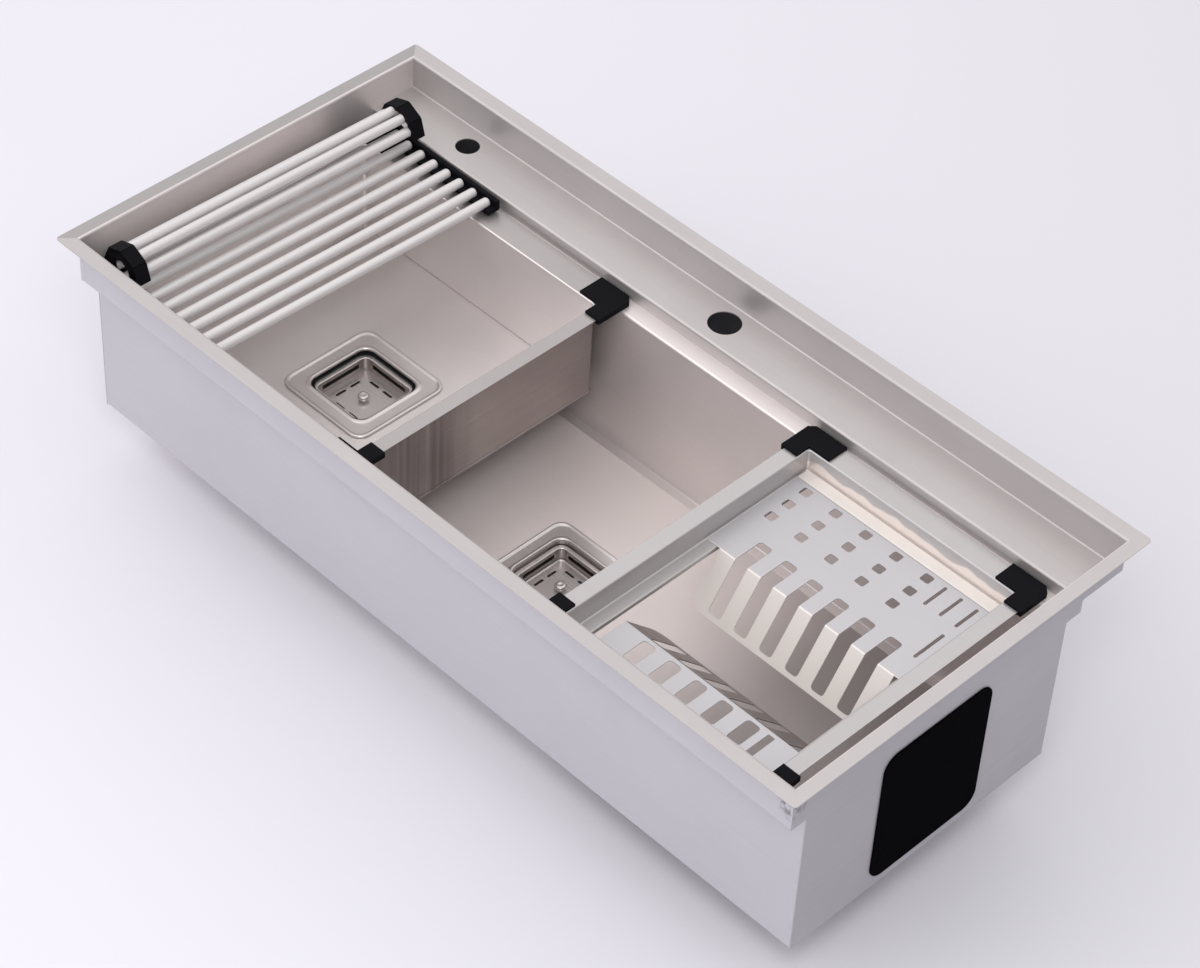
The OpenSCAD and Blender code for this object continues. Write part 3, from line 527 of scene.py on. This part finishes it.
# %% [markdown]
# ## Patches of another tone
# Most patches are painted light and shade: painted shade on the floor under the tray, painted reflection
# in bands on the rinse bowl's outside, a cream band of painted light on the tray's back wall. A weld leaves a
# small grey mark. They are tones and not shapes, so each one is a soft mask made from the place on the
# piece, and it stays there from any side.

# %% Patches of another tone
WELD_CORNER = (0.484, -0.222, -0.024)
WELD_GREY = (0.17, 0.16, 0.17)


def tinted(material, tone, mask_of):
    """Mixes a second tone into a steel where the mask, made from the place on the piece, is white."""
    tree = material.node_tree
    base = tree.nodes["Principled BSDF"].inputs["Base Color"]
    brushed = base.links[0].from_socket
    tree.links.new(colour_between(tree, mask_of(tree, *object_place(tree)), brushed, (*tone, 1)), base)


def tray_shade_mask(tree, place, axes):
    """Painted shade of the tray on the floor: begins 92 mm right of the middle and is full at 258 mm."""
    return math_node(tree, "MULTIPLY_ADD", axes["X"], 6.0, -0.55, True)


def reflection_bands_mask(tree, place, axes):
    """Painted reflection in upright bands towards the front: none behind y = -32 mm, full before y = -77 mm.
    """
    bands = noise(tree, stretched(tree, place, (1, 75, 1.5)), 1.0, 2.0)
    bands = math_node(tree, "MULTIPLY_ADD", bands, 2.6, -0.75, True)
    front = math_node(tree, "MULTIPLY_ADD", axes["Y"], -22.0, -0.7, True)
    return math_node(tree, "MULTIPLY", front, bands, None, True)


def lit_band_mask(tree, place, axes):
    """Painted light: what lies below a line about 60 mm under the rim that waves by 18 mm at most."""
    wave = noise(tree, stretched(tree, place, (30, 0, 0)), 1.0, 1.0)
    edge = math_node(tree, "MULTIPLY_ADD", wave, 0.018, math_node(tree, "MULTIPLY", axes["Z"], -1.0))
    return math_node(tree, "MULTIPLY_ADD", edge, 500.0, -34.5, True)


def corner_weld(tree, place, axes):
    """Grey spots around the welded corner, full within 8 mm and gone at 21 mm."""
    away = tree.nodes.new("ShaderNodeVectorMath")
    away.operation = "DISTANCE"
    tree.links.new(place, away.inputs[0])
    away.inputs[1].default_value = WELD_CORNER
    near = math_node(tree, "MULTIPLY_ADD", away.outputs["Value"], -75.0, 1.6, True)
    spots = math_node(tree, "MULTIPLY_ADD", noise(tree, place, 160.0, 2.0), 6.0, -2.6, True)
    return math_node(tree, "MULTIPLY", near, spots)


# Painted shade on the floor, painted reflection on the outer steel and painted light on the tray's back wall;
# the weld marks are grey.
patches = [(end_shade_steel, WELD_GREY, corner_weld), (outside_steel, WELD_GREY, corner_weld),
           (floor_lit_steel, (0.46, 0.42, 0.41), tray_shade_mask), (outer_shade_steel, (0.20, 0.175, 0.17), reflection_bands_mask),
           (tray_back_steel, (0.90, 0.83, 0.79), lit_band_mask)]
for material, tone, mask_of in patches:
    tinted(material, tone, mask_of)
print("patches on", [material.name for material, _, _ in patches])

# %% [markdown]
# ## The main bowl's sheets
# The real bowl is two long sheets folded to their profile, a deck sheet and two end plates, welded
# where they meet. The CAD already folds them with true bends. They only lack the broken edges, so
# each one is a merged copy of its node with a fine bevel. Faces that look outwards or inwards get their
# own steel: the inside is painted brighter, as painted light, the outside of the long walls has a cooler
# tone, and the outside of the end plates is painted darker, as painted shade.

# %% Main bowl
UNDER_LIP = -0.5
FAR_OUT = 100
INSIDE, OUTSIDE = 1, 2
# Faces that are neither: the rear wall's get the inside steel of painted light, the bowl floor a much
# brighter steel of painted light, and the left end plate's rim a darker steel of painted shade.
top_steel = {"rear_wall": inside_lit_steel, "bowl_floor": floor_lit_steel, "end_plate_left": left_rim_shade_steel}


def outward(node, normal, spot):
    """How far out a face looks: sideways on an end plate, to front or rear on a wall."""
    if "end" in node:
        return normal.x * spot.x
    return normal.y * spot.y if "wall" in node else 0.0


for node in ("front_wall", "rear_wall", "tap_deck", "bowl_floor", "end_plate_left", "end_plate_right"):
    sheet = softened(node, 0.3, materials=[top_steel.get(node, bowl_steel), inside_lit_steel,
                                           end_shade_steel if "end" in node else outside_steel])
    # Outer faces take the outside steel, on the end plates the darker one of painted shade; inner faces take
    # the brighter one of painted light.
    paint(sheet, OUTSIDE, lambda normal, spot: outward(node, normal, spot) > FAR_OUT and normal.z < 0.5
          and spot.z < UNDER_LIP)
    if "end" in node or "front" in node:
        paint(sheet, INSIDE, lambda normal, spot: outward(node, normal, spot) < -FAR_OUT)
    print(node, len(sheet.data.polygons), "faces")

# %% [markdown]
# ## The rinse bowl
# It is pressed from one sheet: a wide flange, upright walls and a flat floor with a square hole for
# the waste. Three outlines are bridged from the flange down to the floor. Then the two folds, at the
# flange and round the floor, are rounded. The inside gets a brighter steel, painted light, the flange a
# darker one, and the outside a dark steel, painted shade with painted reflection.

# %% Rinse bowl
RINSE_WASTE_SHIFT = Vector((6.5, -0.6, 0))
RINSE_WASTE_GROWTH = 1.09
MOUTH_HALF, MOUTH_CORNER = 39.0, 13.5
SHEET = 1.2
FLANGE_TOP, RINSE_FLOOR = -49.3, -162.3
FLANGE_Y = (-217.5, 160.5)
RINSE_WALLS = (-457, -114, -186.5, 129.5)


def square(centre, half, z, radius):
    return (centre.x - half, centre.x + half, centre.y - half, centre.y + half, z, radius)


bm = bmesh.new()
_, brim, foot = bridged(bm, [(-474, -97, *FLANGE_Y, FLANGE_TOP, 3), (*RINSE_WALLS, FLANGE_TOP, 6),
                             (*RINSE_WALLS, RINSE_FLOOR, 6)], end_face=True)
round_fold(bm, brim, 2.2)
round_fold(bm, foot, 1.4, 3)
waste = middle("rinse_waste_body") + RINSE_WASTE_SHIFT
opened(bm, [square(waste, MOUTH_HALF * RINSE_WASTE_GROWTH, RINSE_FLOOR, MOUTH_CORNER)])
facing_up(bm)
rinse = piece("rinse_bowl_pressed", bm, "rinse_bowl", wall=SHEET, edge=0.3,
              materials=[rinse_steel, flange_steel, outer_shade_steel])
# The underside is given the dark outer steel of painted shade, and the cut rims the flange steel.
rinse.modifiers["wall"].material_offset = 2
rinse.modifiers["wall"].material_offset_rim = 1
paint(rinse, 1, lambda normal, spot: spot.z > FLANGE_TOP - 0.1)
print("rinse bowl", len(rinse.data.polygons), "faces")

# %% [markdown]
# ## The dish tray
# The tray is a frame without a floor: a flange, low walls, an inner ledge for the two dish sheets and
# a short lip that stiffens the ledge. The same outlines and folds make it.

# %% Dish tray
TRAY_WALLS = (172.7, 430.3, -192, 135)
TRAY_OPENING = (187.7, 415.3, -177, 120)
LEDGE_TOP, LIP_END = -75, -80
bm = bmesh.new()
_, brim, ledge, opening, _ = bridged(bm, [
    (154.5, 448.5, *FLANGE_Y, FLANGE_TOP, 3), (*TRAY_WALLS, FLANGE_TOP, 2.6), (*TRAY_WALLS, LEDGE_TOP, 2.6),
    (*TRAY_OPENING, LEDGE_TOP, 2), (*TRAY_OPENING, LIP_END, 2)])
round_fold(bm, brim, 2.0)
round_fold(bm, ledge, 1.8)
round_fold(bm, opening, 1.4)
facing_up(bm)
tray = piece("dish_tray_pressed", bm, "dish_tray", wall=SHEET, edge=0.3,
             materials=[tray_steel, tray_back_steel])
# The back wall that faces the front gets the copy with the cream band of painted light.
paint(tray, 1, lambda normal, spot: normal.y < -0.5 and spot.y > 100)
print("dish tray", len(tray.data.polygons), "faces")

# %% [markdown]
# ## The dish sheets
# Each sheet is punched flat and then folded once, so that its comb stands down into the bowl and
# holds plates on edge. It is made here in the same order: an outline, the holes, one filled flat
# face, and then the fold, in small turns about the middle of the bend. Filling first and bending
# afterwards keeps every slot true across the bend.


# %% Punched sheets
def outline(bm, points, rounded):
    """A flat outline from a few corner points, some of them rounded by a radius. Its face is taken out."""
    corners = [bm.verts.new((x * MM, y * MM, 0)) for x, y in points]
    bm.faces.new(corners)
    for index, radius in rounded.items():
        bmesh.ops.bevel(bm, geom=[corners[index]], offset=radius * MM, offset_type="OFFSET", segments=6,
                        profile=0.5, affect="VERTICES", material=-1)
    bmesh.ops.delete(bm, geom=bm.faces[:], context="FACES_ONLY")


def hole_at(x, half, y0, y1, radius):
    return (x - half, x + half, y0, y1, radius)


def punched(bm, holes):
    """Cuts the holes, each given as x0, x1, y0, y1 and corner radius, and fills the sheet flat."""
    for x0, x1, y0, y1, radius in holes:
        face = ring(bm, x0, x1, y0, y1, 0, radius, 4)[1]
        bmesh.ops.delete(bm, geom=[face], context="FACES_ONLY")
    bmesh.ops.triangle_fill(bm, use_beauty=True, use_dissolve=False, edges=bm.edges, normal=(0, 0, 1))


def folded_down(bm, fold_y, side, angle, radius=3.0, steps=6):
    """Bends what lies past the fold, on the given side of it, down by the angle."""
    length = radius * math.radians(angle)
    cuts = [fold_y + side * length * (i / steps - 0.5) for i in range(steps + 1)]
    for cut in cuts:
        bmesh.ops.bisect_plane(bm, geom=bm.verts[:] + bm.edges[:] + bm.faces[:], dist=0.000001,
                               plane_co=(0, cut * MM, 0), plane_no=(0, 1, 0))
    past = [[v for v in bm.verts if side * (v.co.y / MM - cut) > 0.001] for cut in cuts]
    for cut, verts in reversed(list(zip(cuts, past))[:-1]):
        bmesh.ops.rotate(bm, cent=(0, cut * MM, 0), verts=verts,
                         matrix=Matrix.Rotation(-side * math.radians(angle / steps), 3, "X"))


# %% Rear dish sheet
TRAY_X = 301.5
SHEET_HALF, SHEET_TOP, SHEET_WALL = 126.3, -74.0, 1.0
SLOT_PITCH, SLOT_HALF, SLOT_ROUND = 32.81, 8, 4
COMB_ROUND = 13
rear_edge, fold, comb_end, comb_half = 132.5, -5.0, -68.0, 109.8
bm = bmesh.new()
outline(bm, [(TRAY_X - SHEET_HALF, rear_edge), (TRAY_X - SHEET_HALF, fold), (TRAY_X - comb_half, fold),
             (TRAY_X - comb_half, comb_end), (TRAY_X + comb_half, comb_end), (TRAY_X + comb_half, fold),
             (TRAY_X + SHEET_HALF, fold), (TRAY_X + SHEET_HALF, rear_edge)], {3: COMB_ROUND, 4: COMB_ROUND})
slots = [hole_at(TRAY_X + (i - 2.5) * SLOT_PITCH, SLOT_HALF, comb_end + 5, 30, SLOT_ROUND) for i in range(6)]
first_x, first_y, column, row, half = 194.5, 109.9, 38.7, 23.99, 5.5
squares = [hole_at(first_x + c * column, half, first_y - r * row - half, first_y - r * row + half, 2.2)
           for c in range(5) for r in range(3)]
slit_x, slit_step, slit_half, slit_round = 408.4, 19.35, 1.8, 1.7
slits = [hole_at(slit_x - i * slit_step, slit_half, 82.3, 114.7, slit_round) for i in range(3)]
slits.append(hole_at(slit_x, slit_half, 25.2, 67.2, slit_round))
punched(bm, slots + squares + slits)
folded_down(bm, fold, -1, 55)
bmesh.ops.translate(bm, vec=(0, 0, SHEET_TOP * MM), verts=bm.verts)
facing_up(bm)
rear_sheet = piece("rear_dish_sheet_punched", bm, "rear_dish_sheet", wall=SHEET_WALL,
                   materials=[sheet_steel, cream_lit_steel])
# Painted light: the comb's front faces get the pale cream steel.
paint(rear_sheet, 1, lambda normal, spot: normal.y < -0.4)
print("rear sheet holes", len(slots) + len(squares) + len(slits))

# %% Hem of the rear sheet
HEM_WALL, HEM_FRONT = 1.6, 119.5
bm = bmesh.new()
ring(bm, TRAY_X - SHEET_HALF, TRAY_X + SHEET_HALF, HEM_FRONT, rear_edge, SHEET_TOP + HEM_WALL, 1.0, 3)
facing_up(bm)
# Painted light: the hem is the pale cream steel.
piece("rear_sheet_hem", bm, "rear_dish_sheet", wall=HEM_WALL, edge=0.6, steps=3, materials=[cream_lit_steel])

# %% Front dish sheet
front_edge, fold, comb_end, comb_half = -189.5, -137.0, -74.0, 102.3
bm = bmesh.new()
outline(bm, [(TRAY_X - comb_half, front_edge), (TRAY_X + SHEET_HALF, front_edge), (TRAY_X + SHEET_HALF, fold),
             (TRAY_X + comb_half, fold), (TRAY_X + comb_half, comb_end), (TRAY_X - comb_half, comb_end)],
        {4: COMB_ROUND, 5: COMB_ROUND})
slot_from, beside_fold = -172, 4.5
slots = []
for i in range(5):
    x = TRAY_X + (i - 2) * SLOT_PITCH
    slots.append(hole_at(x, SLOT_HALF, slot_from, fold - beside_fold, SLOT_ROUND))
    slots.append(hole_at(x, SLOT_HALF, fold + beside_fold, comb_end - 5, SLOT_ROUND))
slots.append(hole_at(387.8, 4, slot_from, fold - beside_fold, 1))
punched(bm, slots)
folded_down(bm, fold, 1, 45)
bmesh.ops.translate(bm, vec=(0, 0, SHEET_TOP * MM), verts=bm.verts)
facing_up(bm)
front_sheet = piece("front_dish_sheet_punched", bm, "front_dish_sheet", wall=SHEET_WALL,
                    materials=[sheet_steel, outer_shade_steel])
# Painted shade: the comb's rear faces get the dark outer steel.
paint(front_sheet, 1, lambda normal, spot: normal.y > 0.4)
print("front sheet holes", len(slots))

# %% [markdown]
# ## Corner pads
# Each corner of the two flanges is held in a moulded pad that slides on the runner ledge and keeps
# steel off steel. The CAD has its cap, its wall and its sole. Moulded rubber has no sharp edge, so
# the copies get a wide, round bevel.

# %% Pads
PAD_ROUND = 0.8
corner_pads = [f"{owner}_pad_{corner}" for owner in ("rinse", "tray")
               for corner in ("front_left", "front_right", "rear_left", "rear_right")]
for node in corner_pads:
    softened(node, PAD_ROUND, 3)
print("corner pads", len(corner_pads))

# %% [markdown]
# ## Wastes
# The waste is a pressed square: a round bead outside, a band that falls a little towards the mouth, a
# second round bead at the mouth, and a cup below. It is drawn from outlines again, from the outer
# bead down to the neck. The last ones have such a large corner radius that they are circles. The
# rinse bowl's waste is a little larger, all but its neck.

# %% Waste bodies
BOWL_FLOOR = -232.0
NECK_HALF = 17.4
# Half width, height over the floor and corner radius of each outline.
BEAD = [(56, 0.65, 15), (55.9, 1.6, 14.9), (55.3, 2.5, 14.4), (54.2, 2.8, 13.6), (53.0, 2.5, 12.8),
        (52.0, 1.4, 12.2), (51.2, 1.15, 11.8)]
MOUTH = [(42.4, 0.75, 14.6), (41.6, 1.2, 14.2), (40.6, 2.0, 13.9), (39.4, 2.3, 13.4), (38.4, 1.9, 12.6),
         (37.6, 0.8, 12.1)]
CUP = [(37.5, -0.6, 12), (37.5, -24, 12), (36.5, -25, 11), (NECK_HALF, -25, 17.39), (NECK_HALF, -36, 17.39)]


def waste_body(name, node, floor_level, shift=Vector(), growth=1.0):
    centre = middle(node) + shift
    bm = bmesh.new()
    bridged(bm, [square(centre, half * (1 if half == NECK_HALF else growth), floor_level + z, radius)
                 for half, z, radius in BEAD + MOUTH + CUP])
    facing_up(bm)
    made = piece(name, bm, node, wall=0.6, edge=0.0, materials=[waste_steel, cup_shade_steel])
    # Painted shade: the cup below the floor gets the dark cup steel.
    paint(made, 1, lambda normal, spot: spot.z < floor_level - 1)
    print(name, len(made.data.polygons), "faces")


waste_body("main_waste_pressed", "waste_body", BOWL_FLOOR)
waste_body("rinse_waste_pressed", "rinse_waste_body", RINSE_FLOOR, RINSE_WASTE_SHIFT, RINSE_WASTE_GROWTH)

# %% Strainer baskets
BASKET_RIM, BASKET_HALF = 36.5, 31.5
BASKET_TOP, BASKET_FLOOR = -5.0, -21.0
DASH_ALONG, DASH_ASIDE, DASH_LONG, DASH_WIDE = 9, 21.75, 6, 1.4
WALL_AREA, WALL_FRAME = 400, 3.6


def strainer(name, node, floor_level, shift=Vector(), growth=1.0):
    """A square basket: a rim, walls with one long slot on each side, and a floor with eight dashes."""
    centre = middle(node) + shift
    bottom = floor_level + BASKET_FLOOR
    bm = bmesh.new()
    _, brim, foot = bridged(bm, [square(centre, BASKET_RIM * growth, floor_level + BASKET_TOP, 11),
                                 square(centre, BASKET_HALF * growth, floor_level + BASKET_TOP, 6),
                                 square(centre, BASKET_HALF * growth, bottom, 6)], end_face=True)
    round_fold(bm, brim, 1.2, 3)
    round_fold(bm, foot, 2.0, 3)
    dashes = []
    for crossways in (False, True):
        for along in (-DASH_ALONG, DASH_ALONG):
            for aside in (-DASH_ASIDE, DASH_ASIDE):
                spans = (along, aside, DASH_LONG, DASH_WIDE)
                if crossways:
                    spans = (aside, along, DASH_WIDE, DASH_LONG)
                x, y, half_x, half_y = [value * growth for value in spans]
                dashes.append((centre.x + x - half_x, centre.x + x + half_x,
                               centre.y + y - half_y, centre.y + y + half_y, bottom, 1.0, 3))
    opened(bm, dashes)
    bm.normal_update()
    long_walls = [f for f in bm.faces if abs(f.normal.z) < 0.1 and f.calc_area() > WALL_AREA * MM * MM]
    bmesh.ops.inset_individual(bm, faces=long_walls, thickness=WALL_FRAME * MM, use_even_offset=True)
    bmesh.ops.delete(bm, geom=long_walls, context="FACES")
    facing_up(bm)
    made = piece(name, bm, node, wall=0.8, edge=0.2, materials=[waste_steel, outer_shade_steel])
    # Painted shade: the basket's walls get the dark outer steel.
    paint(made, 1, lambda normal, spot: abs(normal.z) < 0.3)
    print(name, len(dashes), "dashes")


strainer("main_strainer_basket", "strainer_basket", BOWL_FLOOR)
strainer("rinse_strainer_basket_slotted", "rinse_strainer_basket", RINSE_FLOOR, RINSE_WASTE_SHIFT,
         RINSE_WASTE_GROWTH)

# %% Knobs
# Radius and height of the knob's outline, from its foot over the edge to its hollow top.
KNOB = [(0, 0), (2.5, 0), (2.5, 2.6), (3.0, 3.0), (5.2, 3.1), (6.0, 3.8), (6.0, 6.4), (5.4, 7.3),
        (4.2, 7.9), (2.6, 8.0), (1.2, 7.5), (0, 7.4)]


def turned(bm, profile, centre, axis, steps=40):
    """Spins a profile, given as distances from and along the axis, once round it."""
    axis = Vector(axis).normalized()
    out = axis.orthogonal().normalized()
    points = [bm.verts.new(centre * MM + out * r * MM + axis * h * MM) for r, h in profile]
    edges = [bm.edges.new(pair) for pair in zip(points, points[1:])]
    bmesh.ops.spin(bm, geom=points + edges, cent=centre * MM, axis=axis, angle=math.tau, steps=steps,
                   use_merge=True)
    bmesh.ops.remove_doubles(bm, verts=bm.verts, dist=0.000001)
    bmesh.ops.recalc_face_normals(bm, faces=bm.faces)


for name, node, shift in (("main_strainer_knob", "strainer_knob", Vector()),
                          ("rinse_strainer_knob_turned", "rinse_strainer_knob", RINSE_WASTE_SHIFT)):
    foot = Vector((middle(node).x, middle(node).y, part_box(node)[0].z / MM)) + shift
    bm = bmesh.new()
    turned(bm, KNOB, foot, (0, 0, 1))
    piece(name, bm, node, edge=0.0)
    print(name, "at", [round(value, 1) for value in foot])

# %% [markdown]
# ## The roll-up rack
# Steel tubes are pressed into two black silicone strips. The strips bend between any two tubes, so
# the rack rolls up like a blind. A tube is turned about its own axis, with closed and rounded ends.
# Its place is measured on its CAD node, because the rolled ones lie at many heights, and its
# direction is that of the joints the rack rolls up on.

# %% Tubes
TUBE_R = 5.25
# Radius and distance from the tip of a tube's rounded end.
TUBE_END = [(0, 0), (2.6, 0.3), (4.3, 1.2), (5.0, 2.4), (TUBE_R, 4.0)]
rack_axis = Vector(next(joint["axis"] for joint in frame["joints"] if joint["name"] == "curl_1"))
tube_nodes = [node for node in nodes if node.startswith(("rack_tube_", "rolled_tube_"))]


def half_length(node):
    """Half a tube's length, from its box and its direction."""
    low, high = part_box(node)
    return ((high.y - low.y) / MM / 2 - TUBE_R * abs(rack_axis.x)) / rack_axis.y


for node in tube_nodes:
    half = half_length(node)
    bm = bmesh.new()
    turned(bm, [(r, h - half) for r, h in TUBE_END] + [(r, half - h) for r, h in reversed(TUBE_END)],
           middle(node), rack_axis, 32)
    piece(node + "_turned", bm, node, edge=0.0)
print("tubes", len(tube_nodes))

# %% [markdown]
# ## The rack's strips
# A strip is one moulding: a thin web, a low bed that the tube ends lie in, and a wall behind their
# ends. Seen from above it is one black band, with the white tube ends lying on it. The rolled part is
# cut into links by the joints. Each link's bed and wall are narrower at the top, so that the links
# can close up into the roll without touching.

# %% Blocks of a strip
# The tubes' pitch, how far neighbouring blocks of a strip overlap, and how far one stands in the next.
PITCH, LAP, SUNK = 20.25, 0.05, 0.2
# Heights over the tubes' middle: the web's underside, the hinge line, the bed's top and the wall's.
WEB_LOW, HINGE, BED_HIGH, WALL_HIGH = -6.55, -4.95, -1.6, 5.6
# Distances past the tubes' ends: where the bed begins, the wall's inner face and its outer face.
BED_FROM, WALL_FROM, STRIP_TO = -11.0, 0.3, 5.0
tube_half = half_length("rack_tube_1")
sideways = rack_axis.cross(Vector((0, 0, 1))).normalized()


def strip_block(bm, centre, angle, x0, x1, y0, y1, z0, z1, top_share):
    """A block of a strip beside a tube: x along the strip, y along the tube, z away from the web."""
    along = sideways * math.cos(angle) - Vector((0, 0, 1)) * math.sin(angle)
    up = sideways * math.sin(angle) + Vector((0, 0, 1)) * math.cos(angle)
    verts = bmesh.ops.create_cube(bm, size=1)["verts"]
    bmesh.ops.scale(bm, vec=(top_share, 1, 1), verts=[v for v in verts if v.co.z > 0])
    bmesh.ops.scale(bm, vec=((x1 - x0) * MM, (y1 - y0) * MM, (z1 - z0) * MM), verts=verts)
    bmesh.ops.translate(bm, vec=((x0 + x1) / 2 * MM, (y0 + y1) / 2 * MM, (z0 + z1) / 2 * MM), verts=verts)
    turn = Matrix((along, rack_axis, up)).transposed().to_4x4()
    bmesh.ops.transform(bm, matrix=Matrix.Translation(centre * MM) @ turn, verts=verts)


def strip_end(bm, tube, side, angle=0.0, bed_share=1.0, wall_share=1.0, reach=0.0):
    """The web, the bed and the wall at one end of one tube. The side is -1 at the front, 1 at the rear."""
    low, high = -PITCH / 2 - LAP, PITCH / 2 + LAP + reach
    for begins, bottom, top, share in ((BED_FROM, WEB_LOW, HINGE, 1.0),
                                       (BED_FROM, HINGE - SUNK, BED_HIGH, bed_share),
                                       (WALL_FROM, HINGE - SUNK, WALL_HIGH, wall_share)):
        ends = sorted((side * (tube_half + begins), side * (tube_half + STRIP_TO)))
        strip_block(bm, middle(tube), angle, low, high, *ends, bottom, top, share)


# %% Flat strips
TAB = 12.0
flat_tubes = [node for node in tube_nodes if node.startswith("rack_tube_")]
rightmost = max(flat_tubes, key=lambda node: middle(node).x)
for node, side in (("rack_strip_front", -1), ("rack_strip_rear", 1)):
    bm = bmesh.new()
    for tube in sorted(flat_tubes):
        strip_end(bm, tube, side, reach=TAB - PITCH / 2 if tube == rightmost else 0.0)
    bmesh.ops.recalc_face_normals(bm, faces=bm.faces)
    piece(node + "_band", bm, node, edge=0.6)
print("strips over", len(flat_tubes), "tubes of", round(2 * tube_half, 1), "mm")

# %% Rolled links
# The turn from one link to the next, and how much narrower the bed and the wall are at the top.
CURL = math.radians(46)
BED_SHARE, WALL_SHARE = 0.86, 0.56
link_nodes = sorted(node for node in nodes if node.startswith("rolled_link_"))
for number, node in enumerate(link_nodes, 1):
    bm = bmesh.new()
    for side in (-1, 1):
        strip_end(bm, f"rolled_tube_{number}", side, CURL * (number - 0.5), BED_SHARE, WALL_SHARE)
    bmesh.ops.recalc_face_normals(bm, faces=bm.faces)
    piece(node + "_band", bm, node, edge=0.2)
print("links", len(link_nodes))

# %% [markdown]
# ## Sound pads, sleeves and what is below the wastes
# Black pads stuck on the outside keep the sheets from ringing. Under the wastes are a seal, a clamping
# ring and an outlet tail, and under the two holes of the deck are black sleeves. They are plain shapes
# in the CAD, so they keep them and get round edges. What hangs below the rinse bowl's waste moves
# along with it.

# %% Pads and plastic
SOUND_PAD_SHARE = Matrix.Diagonal((1, 0.97, 0.965, 1))
for node in ("sound_pad_left", "sound_pad_right", "floor_pad_left", "floor_pad_right"):
    pad = softened(node, 0.7, 3)
    if "sound" in node:
        centre = middle(node) * MM
        pad.data.transform(Matrix.Translation(centre) @ SOUND_PAD_SHARE @ Matrix.Translation(-centre))
plastic = [node for node in nodes if any(word in node for word in ("seal", "clamp", "tail", "sleeve"))]
for node in plastic:
    made = softened(node, 0.4)
    if "rinse" in node:
        made.data.transform(Matrix.Translation(RINSE_WASTE_SHIFT * MM))
print("below the wastes and in the deck", plastic)

# %% [markdown]
# ## Finish

# %% Finish
bpy.context.scene.view_settings.view_transform = "Standard"
